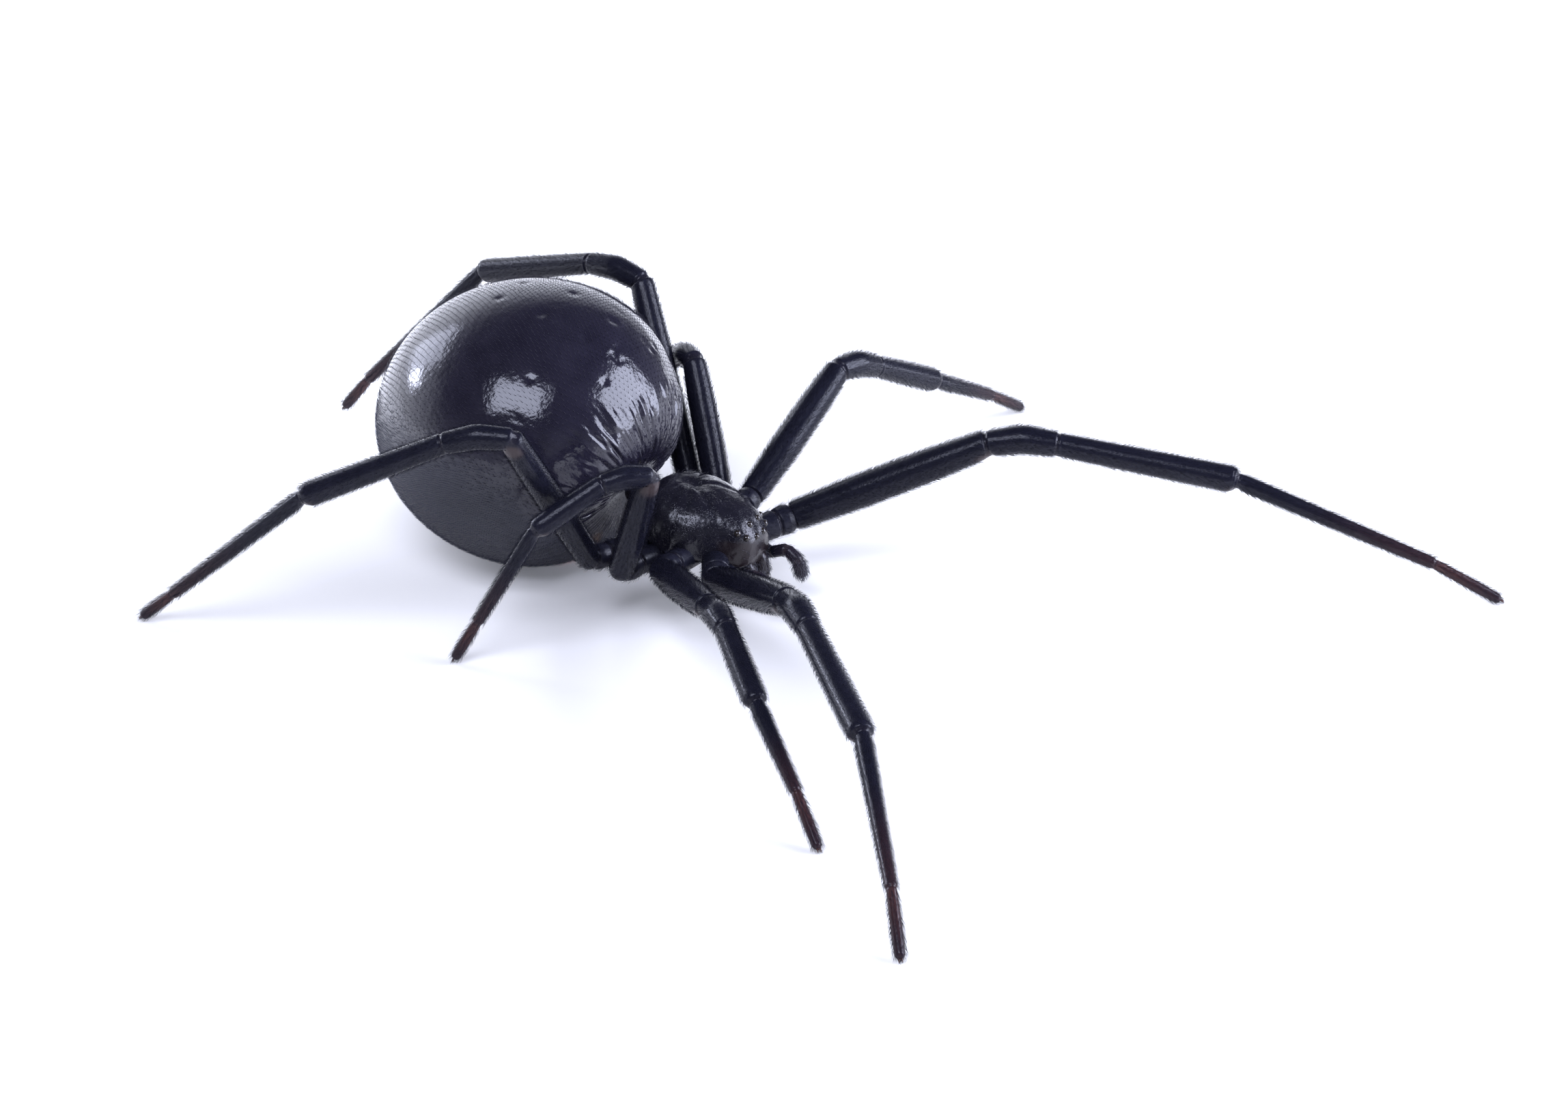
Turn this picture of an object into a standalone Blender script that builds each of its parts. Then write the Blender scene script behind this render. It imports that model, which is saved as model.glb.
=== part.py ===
"""Black widow spider, a still, life-size model of a full grown female.

The spider faces -Y with its left side at +X and stands on the floor plane z = 0.
The abdomen rests on the floor on a small flat, and each foot ends in a small flat.
All sizes below are in millimetres and are turned into metres when a mesh is made.
"""
import bpy
import bmesh
import numpy as np
from math import asin, cos, pi, radians, sin, sqrt
from mathutils import Vector
from mathutils.bvhtree import BVHTree

MM = 0.001
GAP = 0.3                 # room between pieces that meet face to face
LEG_SIDES = 10            # sides round a leg
BODY_SIDES = 28           # sides round the head and the abdomen
SAMPLE_STEP = 0.55        # distance between rings along a limb
END_RINGS = 3             # rings that round off each end of a limb
LEFT = 1
RIGHT = -1
SIDE_NAMES = {LEFT: "left", RIGHT: "right"}

# Head and chest piece: its middle, tilt and outline
BODY_HEIGHT = 2.58        # of the body's middle line above the floor
BODY_TILT = radians(6.0)  # head down
# Stations from the waist to the front: forward, half width, top, edge, bottom, and how boxy the
# dome is (1 for an ellipse, less for a squarer one)
CARAPACE_STATIONS = (
    (-1.86, 0.45, 0.42, -0.10, -0.50, 1.00),
    (-1.66, 1.00, 0.86, -0.22, -0.78, 0.92),
    (-1.22, 1.50, 1.12, -0.36, -0.95, 0.85),
    (-0.60, 1.80, 1.20, -0.45, -1.02, 0.85),
    (0.10, 1.77, 1.14, -0.48, -1.02, 0.85),
    (0.70, 1.45, 1.00, -0.52, -1.00, 0.85),
    (1.15, 1.10, 0.88, -0.62, -0.98, 0.76),
    (1.50, 0.92, 0.70, -0.70, -0.98, 0.68),
    (1.78, 0.80, 0.44, -0.74, -0.96, 0.65),
    (1.94, 0.62, 0.14, -0.60, -0.88, 0.65),
)
STATIONS_BETWEEN = 2      # rings between two stations
UNDERSIDE_PINCH = 0.36    # how fast the underside narrows below the edge
FOVEA = (-0.45, 0.42, 0.22, 0.14)   # forward, half length, half width, depth of the dip

# Eyes: forward, outward, up, radius
EYES = (
    (1.92, 0.21, 0.18, 0.11),
    (1.82, 0.62, 0.26, 0.11),
    (1.61, 0.25, 0.48, 0.11),
    (1.53, 0.75, 0.39, 0.11),
)
EYE_SUNK = 0.35           # share of the radius below the surface

# Abdomen: an egg on the floor, swung a little to the left
ABDOMEN_BACK = 6.10       # its middle behind the body's middle
ABDOMEN_SWING = radians(4.2)
ABDOMEN_FRONT = 4.76
ABDOMEN_REAR = 5.10
ABDOMEN_HALF_WIDTH = 4.86
ABDOMEN_TOP = 4.46
ABDOMEN_BELOW = 4.34
ABDOMEN_FLAT_DEPTH = 0.05
ABDOMEN_RINGS = 22
# Hollows of the soft skin: share of the radius taken out, and how far each spreads
WAIST_DIMPLE = (0.22, radians(23))
HIP_HOLLOW = (0.10, radians(20))
HIP_WAY = (0.74, 0.49, -0.45)       # ahead, outward, up: over the last pair of hips
THIGH_HOLLOW = (0.18, radians(24))
THIGH_WAY = (0.50, 0.86, 0.0)       # where the left hind thigh leans on the flank

# Waist in body coordinates: forward, outward, up
WAIST_RADIUS = 0.34
WAIST_START = (-1.2, 0, -0.12)
WAIST_END = (-2.6, 0, 0.1)
WAIST_MOUTH = (-2.3, 0, 0)          # where it enters the abdomen
WAIST_INTO = 0.35                   # share of the way from its end to the abdomen's middle

# Spinnerets: three pairs of cones on a low mound at the lower rear
SPINNERET_PITCH = radians(-47)
MOUND_RADII = (0.86, 0.70)
SPINNERETS = (            # outward, up along the surface, length, radius
    (0.28, 0.24, 0.62, 0.24),
    (0.17, -0.02, 0.50, 0.18),
    (0.30, -0.30, 0.62, 0.24),
)

# Jaws and feelers in body coordinates: forward, outward, up
JAW_PATH = ((1.78, 0.42, -0.90), (1.90, 0.42, -1.32), (1.86, 0.36, -1.80))
JAW_RADII = (0.27, 0.29, 0.20)
FANG_PATH = ((1.86, 0.34, -1.72), (1.84, 0.28, -1.94), (1.68, 0.20, -2.06))
FANG_RADII = (0.13, 0.10, 0.04)
PALP_PATH = (
    (1.20, 0.95, -0.72),
    (1.84, 1.04, -0.98),
    (2.42, 1.00, -0.66),
    (2.86, 0.97, -0.90),
    (3.06, 0.94, -1.42),
)
PALP_RADII = (0.30, 0.25, 0.25, 0.24, 0.14)

# Legs: the four pairs from front to back
HIP_ROOTS = ((0.85, 0.75, -0.70), (0.20, 0.85, -0.70), (-0.50, 0.85, -0.72), (-1.15, 0.75, -0.70))
FEMUR_BASES = ((1.83, 2.48, -0.36), (0.14, 2.90, -0.39), (-1.11, 3.08, -0.74), (-2.18, 3.13, -0.71))
SEGMENT_LENGTHS = (       # femur, patella, tibia, metatarsus, tarsus
    (6.32, 2.07, 5.43, 6.43, 2.31),
    (5.00, 1.78, 3.21, 3.33, 1.95),
    (4.00, 1.48, 2.40, 3.54, 1.41),
    (6.50, 2.04, 4.78, 6.10, 1.45),
)
# Radii: hip, femur base, middle and end, patella, tibia base and end, metatarsus, tarsus tip
SEGMENT_RADII = (
    (0.38, 0.44, 0.50, 0.43, 0.40, 0.35, 0.42, 0.27, 0.17),
    (0.36, 0.42, 0.47, 0.40, 0.38, 0.33, 0.37, 0.26, 0.17),
    (0.35, 0.40, 0.42, 0.37, 0.36, 0.32, 0.35, 0.26, 0.17),
    (0.36, 0.41, 0.45, 0.40, 0.38, 0.34, 0.39, 0.26, 0.17),
)
FOOT_HEIGHT = 0.13        # middle of the foot's tip above the floor
# Each leg's stance: its size against the pair's, the outward turn from straight ahead of the
# femur, of the patella and tibia, and of the metatarsus and tarsus, and the rise of the femur,
# patella, tibia and metatarsus, all in degrees.  The tarsus comes down to the floor.
STANCES = {
    (LEFT, 0): (1.03, (24, 22.4, 22.2), (24.3, 2.1, -9.9, -22.6)),
    (LEFT, 1): (1.02, (80, 75.4, 79.5), (31.5, -15.5, -27.7, -28.7)),
    (LEFT, 2): (1.04, (136, 139, 138), (53.0, -17.0, -30.0, -40.0)),
    (LEFT, 3): (0.99, (140.4, 170.7, 189), (52.0, 1.8, -18.6, -47.6)),
    (RIGHT, 0): (0.935, (39.6, 43.9, 54.5), (19.6, 3.1, -11.7, -16.6)),
    (RIGHT, 1): (0.99, (44.1, 44.5, 39.5), (13.3, 5.1, -17.3, -24.8)),
    (RIGHT, 2): (1.01, (25, 134, 152), (68.2, -1.1, -30.3, -60.0)),
    (RIGHT, 3): (1.00, (100, 159.5, 173), (56.6, -7.6, -25.3, -42.4)),
}

# Colour, roughness and metallic value of each kind of piece
FINISHES = {
    "cuticle": ((0.010, 0.011, 0.016), 0.28, 0.0),
    "abdomen": ((0.008, 0.009, 0.014), 0.32, 0.0),
    "mouthparts": ((0.020, 0.017, 0.017), 0.45, 0.0),
    "feet": ((0.035, 0.017, 0.012), 0.50, 0.0),
}


def clear_scene():
    """Remove whatever the file holds before the model is made."""
    for old in list(bpy.data.objects):
        bpy.data.objects.remove(old, do_unlink=True)


def unit(vector):
    vector = np.asarray(vector, float)
    return vector / np.linalg.norm(vector)


def body_point(forward, outward, up, side=LEFT):
    """A place given along the tilted body, in millimetres over the floor."""
    y = -forward * cos(BODY_TILT) - up * sin(BODY_TILT)
    z = BODY_HEIGHT - forward * sin(BODY_TILT) + up * cos(BODY_TILT)
    return np.array([side * outward, y, z])


def heading(side, turn, rise):
    """Unit vector turned outward from straight ahead and raised, both in degrees."""
    turn = radians(turn)
    rise = radians(rise)
    return np.array([side * sin(turn) * cos(rise), -cos(turn) * cos(rise), sin(rise)])


def mesh_from_rings(rings, start_tip, end_tip):
    """Closed mesh through rings of points, each end closed with a fan to its tip."""
    mesh = bmesh.new()
    loops = [[mesh.verts.new(Vector(point * MM)) for point in ring] for ring in rings]
    count = len(loops[0])
    for lower, upper in zip(loops, loops[1:]):
        for i in range(count):
            j = (i + 1) % count
            mesh.faces.new((lower[i], lower[j], upper[j], upper[i]))
    for loop, tip in ((loops[0], start_tip), (loops[-1], end_tip)):
        middle = mesh.verts.new(Vector(tip * MM))
        for i in range(count):
            mesh.faces.new((loop[i], loop[(i + 1) % count], middle))
    bmesh.ops.recalc_face_normals(mesh, faces=mesh.faces)
    return mesh


def object_from(mesh, name):
    """Turn a bmesh into an object of the scene."""
    data = bpy.data.meshes.new(name)
    mesh.to_mesh(data)
    mesh.free()
    piece = bpy.data.objects.new(name, data)
    bpy.context.collection.objects.link(piece)
    return piece


def smooth_route(corners, step):
    """Even points along straight runs, with the corners between them rounded."""
    corners = np.asarray(corners, float)
    lengths = np.linalg.norm(np.diff(corners, axis=0), axis=1)
    marks = np.concatenate(([0.0], np.cumsum(lengths)))
    fine = np.linspace(0.0, marks[-1], int(marks[-1] / step * 6) + 1)
    line = np.stack([np.interp(fine, marks, corners[:, k]) for k in range(3)], axis=1)
    for _ in range(3):
        inner = (line[:-4] + line[1:-3] + line[2:-2] + line[3:-1] + line[4:]) / 5
        line[2:-2] = inner
    count = max(4, int(round(marks[-1] / step)))
    even = np.linspace(0.0, marks[-1], count + 1)
    points = np.stack([np.interp(even, fine, line[:, k]) for k in range(3)], axis=1)
    return points, even / marks[-1]


def limb(name, corners, radii, marks=None, sides=LEG_SIDES, step=SAMPLE_STEP, blunt=1.0):
    """Round limb through the corners with rounded ends that pass them by its radius."""
    corners = np.asarray(corners, float)
    points, shares = smooth_route(corners, step)
    if marks is None:
        lengths = np.linalg.norm(np.diff(corners, axis=0), axis=1)
        marks = np.concatenate(([0.0], np.cumsum(lengths))) / lengths.sum()
    widths = np.interp(shares, marks, radii)
    tangents = np.gradient(points, axis=0)
    tangents = tangents / np.linalg.norm(tangents, axis=1)[:, None]
    across = unit(np.cross(tangents[0], (0.31, 0.22, 0.93)))
    turns = np.linspace(0.0, 2 * pi, sides, endpoint=False)
    rings = []
    first, last = tangents[0], tangents[-1]
    rounds = [k / (END_RINGS + 0.35) * pi / 2 for k in range(END_RINGS, 0, -1)]
    route = [(points[0] - first * widths[0] * blunt * sin(a), first, widths[0] * cos(a)) for a in rounds]
    route += list(zip(points, tangents, widths))
    route += [(points[-1] + last * widths[-1] * blunt * sin(a), last, widths[-1] * cos(a)) for a in rounds[::-1]]
    for point, tangent, width in route:
        across = unit(across - tangent * np.dot(across, tangent))
        other = np.cross(tangent, across)
        rings.append(point + width * (np.outer(np.cos(turns), across) + np.outer(np.sin(turns), other)))
    start_tip = points[0] - first * widths[0] * blunt
    end_tip = points[-1] + last * widths[-1] * blunt
    return object_from(mesh_from_rings(rings, start_tip, end_tip), name)


def ball(name, centre, radius, sides=10, rings=7):
    """Round ball as a closed mesh."""
    mesh = bmesh.new()
    bmesh.ops.create_uvsphere(mesh, u_segments=sides, v_segments=rings, radius=radius * MM)
    bmesh.ops.translate(mesh, verts=mesh.verts, vec=Vector(np.asarray(centre) * MM))
    return object_from(mesh, name)


def keep_largest(piece):
    """Keep the largest closed surface of a mesh and drop loose scraps."""
    mesh = bmesh.new()
    mesh.from_mesh(piece.data)
    unseen = set(mesh.faces)
    islands = []
    while unseen:
        first = unseen.pop()
        island = [first]
        queue = [first]
        while queue:
            face = queue.pop()
            for edge in face.edges:
                for near in edge.link_faces:
                    if near in unseen:
                        unseen.remove(near)
                        island.append(near)
                        queue.append(near)
        islands.append(island)
    islands.sort(key=lambda faces: sum(face.calc_area() for face in faces), reverse=True)
    for island in islands[1:]:
        bmesh.ops.delete(mesh, geom=island, context="FACES")
    loose = [vert for vert in mesh.verts if not vert.link_faces]
    bmesh.ops.delete(mesh, geom=loose, context="VERTS")
    bmesh.ops.triangulate(mesh, faces=mesh.faces)
    bmesh.ops.dissolve_degenerate(mesh, dist=0.002 * MM, edges=mesh.edges)
    bmesh.ops.triangulate(mesh, faces=mesh.faces)
    mesh.to_mesh(piece.data)
    mesh.free()
    return piece


def apply_boolean(piece, operation, others):
    """Apply one Boolean with a collection of closed meshes and remove them."""
    tools = bpy.data.collections.new("tools")
    bpy.context.scene.collection.children.link(tools)
    for other in others:
        for home in list(other.users_collection):
            home.objects.unlink(other)
        tools.objects.link(other)
    change = piece.modifiers.new("join", "BOOLEAN")
    change.operation = operation
    change.operand_type = "COLLECTION"
    change.collection = tools
    change.solver = "EXACT"
    bpy.context.view_layer.update()
    evaluated = piece.evaluated_get(bpy.context.evaluated_depsgraph_get())
    result = bpy.data.meshes.new_from_object(evaluated)
    piece.modifiers.clear()
    piece.data = result
    for other in others:
        bpy.data.objects.remove(other, do_unlink=True)
    bpy.data.collections.remove(tools)
    return keep_largest(piece)


def fuse(name, pieces):
    """One closed body from pieces that overlap."""
    whole = pieces[0]
    whole.name = name
    if len(pieces) > 1:
        apply_boolean(whole, "UNION", pieces[1:])
    return whole


def swollen(piece, amount):
    """Copy of a closed mesh, moved out along its normals."""
    mesh = bmesh.new()
    mesh.from_mesh(piece.data)
    mesh.normal_update()
    moves = [vert.normal * amount * MM for vert in mesh.verts]
    for vert, move in zip(mesh.verts, moves):
        vert.co += move
    return object_from(mesh, piece.name + "_room")


def trim_clear(piece, neighbours):
    """Cut a piece back so that it meets its neighbours with the gap."""
    return apply_boolean(piece, "DIFFERENCE", [swollen(other, GAP) for other in neighbours])


def cut(piece, point, outward):
    """Cut a piece with a plane, drop what lies outward of it and close the face."""
    mesh = bmesh.new()
    mesh.from_mesh(piece.data)
    geometry = list(mesh.verts) + list(mesh.edges) + list(mesh.faces)
    result = bmesh.ops.bisect_plane(
        mesh, geom=geometry, dist=1e-7, plane_co=Vector(point * MM), plane_no=Vector(outward), clear_outer=True
    )
    edges = [item for item in result["geom_cut"] if isinstance(item, bmesh.types.BMEdge)]
    bmesh.ops.edgeloop_fill(mesh, edges=edges)
    bmesh.ops.recalc_face_normals(mesh, faces=mesh.faces)
    mesh.to_mesh(piece.data)
    mesh.free()
    return piece


def carapace_ring(forward, half_width, top, edge, bottom, boxy):
    """Ring round the head and chest piece: a dome above the edge, a narrow underside."""
    ring = []
    for k in range(BODY_SIDES):
        turn = 2 * pi * k / BODY_SIDES
        lift = sin(turn)
        aside = cos(turn)
        if lift >= 0:
            outward = half_width * abs(aside) ** boxy * (1 if aside > 0 else -1)
            up = edge + (top - edge) * lift ** boxy
            dip_forward, dip_length, dip_width, dip_depth = FOVEA
            reach = ((forward - dip_forward) / dip_length) ** 2 + (outward / dip_width) ** 2
            up -= dip_depth * np.exp(-reach)
        else:
            outward = half_width * aside * (1 - UNDERSIDE_PINCH * abs(lift) ** 0.5)
            up = edge + (bottom - edge) * abs(lift) ** 0.8
        ring.append(body_point(forward, outward, up))
    return np.array(ring)


def make_cephalothorax():
    """Carapace and breast plate in one, with the eight eyes as low domes."""
    table = np.array(CARAPACE_STATIONS)
    places = np.arange(len(table))
    fine = np.linspace(0, len(table) - 1, (len(table) - 1) * STATIONS_BETWEEN + 1)
    stations = np.stack([np.interp(fine, places, table[:, k]) for k in range(table.shape[1])], axis=1)
    for _ in range(2):
        stations[1:-1, 1:] = (stations[:-2, 1:] + 2 * stations[1:-1, 1:] + stations[2:, 1:]) / 4
    rings = [carapace_ring(*station) for station in stations]
    ends = [ring.mean(axis=0) for ring in (rings[0], rings[-1])]
    ends[0] = ends[0] + (0, 0.06, 0)
    ends[1] = ends[1] - (0, 0.06, 0)
    shell = object_from(mesh_from_rings(rings, ends[0], ends[1]), "shell")
    surface = BVHTree.FromObject(shell, bpy.context.evaluated_depsgraph_get())
    pieces = [shell]
    for forward, outward, up, radius in EYES:
        for side in (LEFT, RIGHT):
            aim = Vector(body_point(forward, outward, up, side) * MM)
            place, normal, _, _ = surface.find_nearest(aim)
            centre = np.array(place) / MM - np.array(normal) * radius * EYE_SUNK
            pieces.append(ball("eye", centre, radius))
    return fuse("cephalothorax", pieces)


def abdomen_middle():
    """Middle of the abdomen, swung to the left behind the body."""
    x = ABDOMEN_BACK * sin(ABDOMEN_SWING)
    y = ABDOMEN_BACK * cos(ABDOMEN_SWING)
    return np.array([x, y, ABDOMEN_BELOW - ABDOMEN_FLAT_DEPTH])


def abdomen_axes():
    """Unit vectors of the abdomen: ahead, to the left and up."""
    ahead = np.array([-sin(ABDOMEN_SWING), -cos(ABDOMEN_SWING), 0.0])
    left = np.array([cos(ABDOMEN_SWING), -sin(ABDOMEN_SWING), 0.0])
    return ahead, left, np.array([0.0, 0.0, 1.0])


def flank_way(parts, side):
    """Unit vector from the abdomen's middle, given ahead, outward and up."""
    ahead, left, above = abdomen_axes()
    return unit(ahead * parts[0] + left * side * parts[1] + above * parts[2])


def abdomen_point(along, outward, up, waist):
    """Surface point in the direction given by its three parts, with its hollows."""
    ahead, left, above = abdomen_axes()
    way = unit((along, outward, up))
    length = ABDOMEN_FRONT if way[0] > 0 else ABDOMEN_REAR
    height = ABDOMEN_TOP if way[2] > 0 else ABDOMEN_BELOW
    reach = 1 / sqrt((way[0] / length) ** 2 + (way[1] / ABDOMEN_HALF_WIDTH) ** 2 + (way[2] / height) ** 2)
    vector = ahead * way[0] + left * way[1] + above * way[2]
    hollows = [(waist, *WAIST_DIMPLE)]
    for side in (LEFT, RIGHT):
        hollows.append((flank_way(HIP_WAY, side), *HIP_HOLLOW))
    hollows.append((flank_way(THIGH_WAY, LEFT), *THIGH_HOLLOW))
    for toward, depth, spread in hollows:
        apart = np.arccos(np.clip(np.dot(vector, toward), -1, 1))
        reach *= 1 - depth * np.exp(-(apart / spread) ** 2)
    return abdomen_middle() + vector * reach


def make_abdomen():
    """Nearly round abdomen with its spinnerets, a waist dimple and a flat on the floor."""
    waist = unit(body_point(*WAIST_MOUTH) - abdomen_middle())
    rings = []
    for k in range(1, ABDOMEN_RINGS):
        polar = pi * k / ABDOMEN_RINGS
        ring = []
        for j in range(BODY_SIDES):
            turn = 2 * pi * j / BODY_SIDES
            ring.append(abdomen_point(cos(polar), sin(polar) * cos(turn), sin(polar) * sin(turn), waist))
        rings.append(np.array(ring))
    front = abdomen_point(1, 0, 0, waist)
    rear = abdomen_point(-1, 0, 0, waist)
    egg = object_from(mesh_from_rings(rings, front, rear), "egg")
    abdomen = fuse("abdomen", [egg] + spinneret_pieces(waist))
    cut(abdomen, np.zeros(3), (0, 0, -1))
    return keep_largest(abdomen)


def spinneret_pieces(waist):
    """Low mound and three pairs of cones, rooted in the lower rear of the abdomen."""
    ahead, left, above = abdomen_axes()
    root = abdomen_point(-cos(SPINNERET_PITCH), 0, sin(SPINNERET_PITCH), waist)
    way = unit(root - abdomen_middle())
    upward = unit(np.cross(left, way))
    upward = upward if upward[2] > 0 else -upward
    pieces = [limb("mound", (root - way * 0.5, root + way * 0.1), MOUND_RADII, sides=14, step=0.2, blunt=0.4)]
    for outward, up, length, radius in SPINNERETS:
        for side in (LEFT, RIGHT):
            start = root + left * outward * side + upward * up
            lean = unit(way - upward * up * 0.5 - left * outward * side * 0.3)
            end = start + lean * length
            pieces.append(limb("cone", (start - lean * 0.3, end), (radius, radius * 0.7), sides=8, step=0.4, blunt=0.7))
    return pieces


def make_pedicel(body, abdomen):
    """Short waist between the head and chest piece and the abdomen."""
    end = abdomen_middle() * WAIST_INTO + body_point(*WAIST_END) * (1 - WAIST_INTO)
    waist = limb("pedicel", (body_point(*WAIST_START), end), (WAIST_RADIUS, WAIST_RADIUS), step=0.3)
    return trim_clear(waist, [body, abdomen])


def make_jaw(side, body):
    """One jaw with its fang."""
    base = limb("jaw", [body_point(*place, side) for place in JAW_PATH], JAW_RADII, step=0.25, blunt=0.7)
    fang = limb("fang", [body_point(*place, side) for place in FANG_PATH], FANG_RADII, sides=8, step=0.12)
    jaw = fuse("chelicera_" + SIDE_NAMES[side], [base, fang])
    return trim_clear(jaw, [body])


def make_palp(side, neighbours):
    """One feeler between a jaw and the first leg, bent down at its end."""
    route = [body_point(*place, side) for place in PALP_PATH]
    palp = limb("pedipalp_" + SIDE_NAMES[side], route, PALP_RADII, step=0.3)
    return trim_clear(palp, neighbours)


def leg_joints(side, pair):
    """The leg's joints: femur base, knee, patella end, tibia end, tarsus base and tip."""
    size, turns, rises = STANCES[(side, pair)]
    lengths = [length * size for length in SEGMENT_LENGTHS[pair]]
    joints = [body_point(*FEMUR_BASES[pair], side)]
    for length, turn, rise in zip(lengths, (turns[0], turns[1], turns[1], turns[2]), rises):
        joints.append(joints[-1] + length * heading(side, turn, rise))
    drop = (FOOT_HEIGHT - joints[-1][2]) / lengths[4]
    rise = asin(max(-1.0, min(1.0, drop))) * 180 / pi
    joints.append(joints[-1] + lengths[4] * heading(side, turns[2], rise))
    return joints


def mitre(piece, joint, inward, bisector):
    """Cut a limb at a joint, half the gap short of it, across the way between both limbs."""
    outward = bisector if np.dot(bisector, inward) < 0 else -bisector
    return cut(piece, joint - outward * GAP / 2, outward)


def make_leg(side, pair, body):
    """The three lengths of one leg, parted at the knee and above the metatarsus."""
    name = "leg_%s_%d_" % (SIDE_NAMES[side], pair + 1)
    hip_width, base, middle, end, patella, tibia_start, tibia_end, metatarsus, tip = SEGMENT_RADII[pair]
    hip, knee, patella_end, tibia_tip, tarsus_base, foot = leg_joints(side, pair)
    root = body_point(*HIP_ROOTS[pair], side)

    coxa = limb("coxa", (root, hip), (hip_width, base), step=0.5)
    femur = limb("femur", (hip, knee), (base, middle, middle * 0.97, end), (0, 0.35, 0.7, 1))
    thigh = trim_clear(fuse(name + "femur", [coxa, femur]), [body])
    at_knee = unit(unit(knee - hip) + unit(patella_end - knee))
    mitre(thigh, knee, hip - knee, at_knee)

    shares = np.array([0, 0.5, 1.0, 1.25, 3]) * SEGMENT_LENGTHS[pair][1]
    total = SEGMENT_LENGTHS[pair][1] + SEGMENT_LENGTHS[pair][2]
    shares[-1] = total
    shin = limb(name + "tibia", (knee, patella_end, tibia_tip),
                (patella, patella * 1.03, tibia_start * 0.97, tibia_start, tibia_end), shares / total)
    mitre(shin, knee, patella_end - knee, at_knee)
    at_ankle = unit(unit(tibia_tip - patella_end) + unit(tarsus_base - tibia_tip))
    mitre(shin, tibia_tip, patella_end - tibia_tip, at_ankle)

    share = SEGMENT_LENGTHS[pair][3] / (SEGMENT_LENGTHS[pair][3] + SEGMENT_LENGTHS[pair][4])
    toe = limb(name + "tarsus", (tibia_tip, tarsus_base, foot),
               (metatarsus * 1.12, metatarsus, metatarsus * 0.95, tip), (0, 0.2, share, 1))
    mitre(toe, tibia_tip, tarsus_base - tibia_tip, at_ankle)
    cut(toe, np.zeros(3), (0, 0, -1))
    return [keep_largest(piece) for piece in (thigh, shin, toe)]


def finish_of(name):
    """Kind of finish of a node."""
    if name.startswith(("chelicera", "pedipalp")):
        return "mouthparts"
    if name.endswith("tarsus"):
        return "feet"
    return "abdomen" if name == "abdomen" else "cuticle"


def material(kind):
    """Principled material of one kind of piece."""
    colour, roughness, metallic = FINISHES[kind]
    made = bpy.data.materials.get(kind) or bpy.data.materials.new(kind)
    made.use_nodes = True
    shader = made.node_tree.nodes["Principled BSDF"]
    shader.inputs["Base Color"].default_value = (*colour, 1.0)
    shader.inputs["Roughness"].default_value = roughness
    shader.inputs["Metallic"].default_value = metallic
    return made


def set_down(pieces):
    """Hang all pieces on one empty that puts the origin under the middle of the whole."""
    corners = np.array([vert.co for piece in pieces for vert in piece.data.vertices])
    low = corners.min(axis=0)
    high = corners.max(axis=0)
    middle = (low + high) / 2
    stand = bpy.data.objects.new("spider", None)
    bpy.context.collection.objects.link(stand)
    stand.location = (-middle[0], -middle[1], -low[2])
    for piece in pieces:
        piece.parent = stand
        piece.data.materials.clear()
        piece.data.materials.append(material(finish_of(piece.name)))
        piece.data.shade_smooth()
        piece.data.set_sharp_from_angle(angle=radians(50))


def main():
    clear_scene()
    body = make_cephalothorax()
    abdomen = make_abdomen()
    pieces = [body, abdomen, make_pedicel(body, abdomen)]
    for side in (LEFT, RIGHT):
        jaw = make_jaw(side, body)
        legs = [make_leg(side, pair, body) for pair in range(4)]
        pieces += [jaw, make_palp(side, [body, jaw, legs[0][0]])]
        for lengths in legs:
            pieces += lengths
    set_down(pieces)


main()
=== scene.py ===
# Black widow spider: the looks of the still, life-size model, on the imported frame.
# The spider faces -Y with its left side at +X.  Sizes are in millimetres unless a name says otherwise.
import bpy
import numpy as np
from math import asin, cos, degrees, pi, radians, sin
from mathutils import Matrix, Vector
from mathutils.bvhtree import BVHTree


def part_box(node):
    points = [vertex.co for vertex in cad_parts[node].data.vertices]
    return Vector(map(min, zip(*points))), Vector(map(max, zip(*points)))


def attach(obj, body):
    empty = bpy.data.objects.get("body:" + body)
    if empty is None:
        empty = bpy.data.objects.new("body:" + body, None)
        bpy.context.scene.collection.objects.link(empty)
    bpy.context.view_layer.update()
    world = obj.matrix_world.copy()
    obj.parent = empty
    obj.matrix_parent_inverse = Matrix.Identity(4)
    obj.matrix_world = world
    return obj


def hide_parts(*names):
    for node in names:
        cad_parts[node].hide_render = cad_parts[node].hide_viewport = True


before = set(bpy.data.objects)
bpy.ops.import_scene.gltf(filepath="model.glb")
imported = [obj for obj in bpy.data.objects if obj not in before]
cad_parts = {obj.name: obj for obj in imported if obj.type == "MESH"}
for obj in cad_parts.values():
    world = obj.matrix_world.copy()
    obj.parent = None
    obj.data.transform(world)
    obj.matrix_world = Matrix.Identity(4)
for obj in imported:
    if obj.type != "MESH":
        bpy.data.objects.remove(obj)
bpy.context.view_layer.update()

MM = 0.001
LEFT = 1
RIGHT = -1
SIDES = {LEFT: "left", RIGHT: "right"}
SEED = 7
MADE = {}                 # materials by name

# Head and chest piece, as in the solids
BODY_HEIGHT = 2.58
BODY_TILT = radians(6.0)
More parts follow.
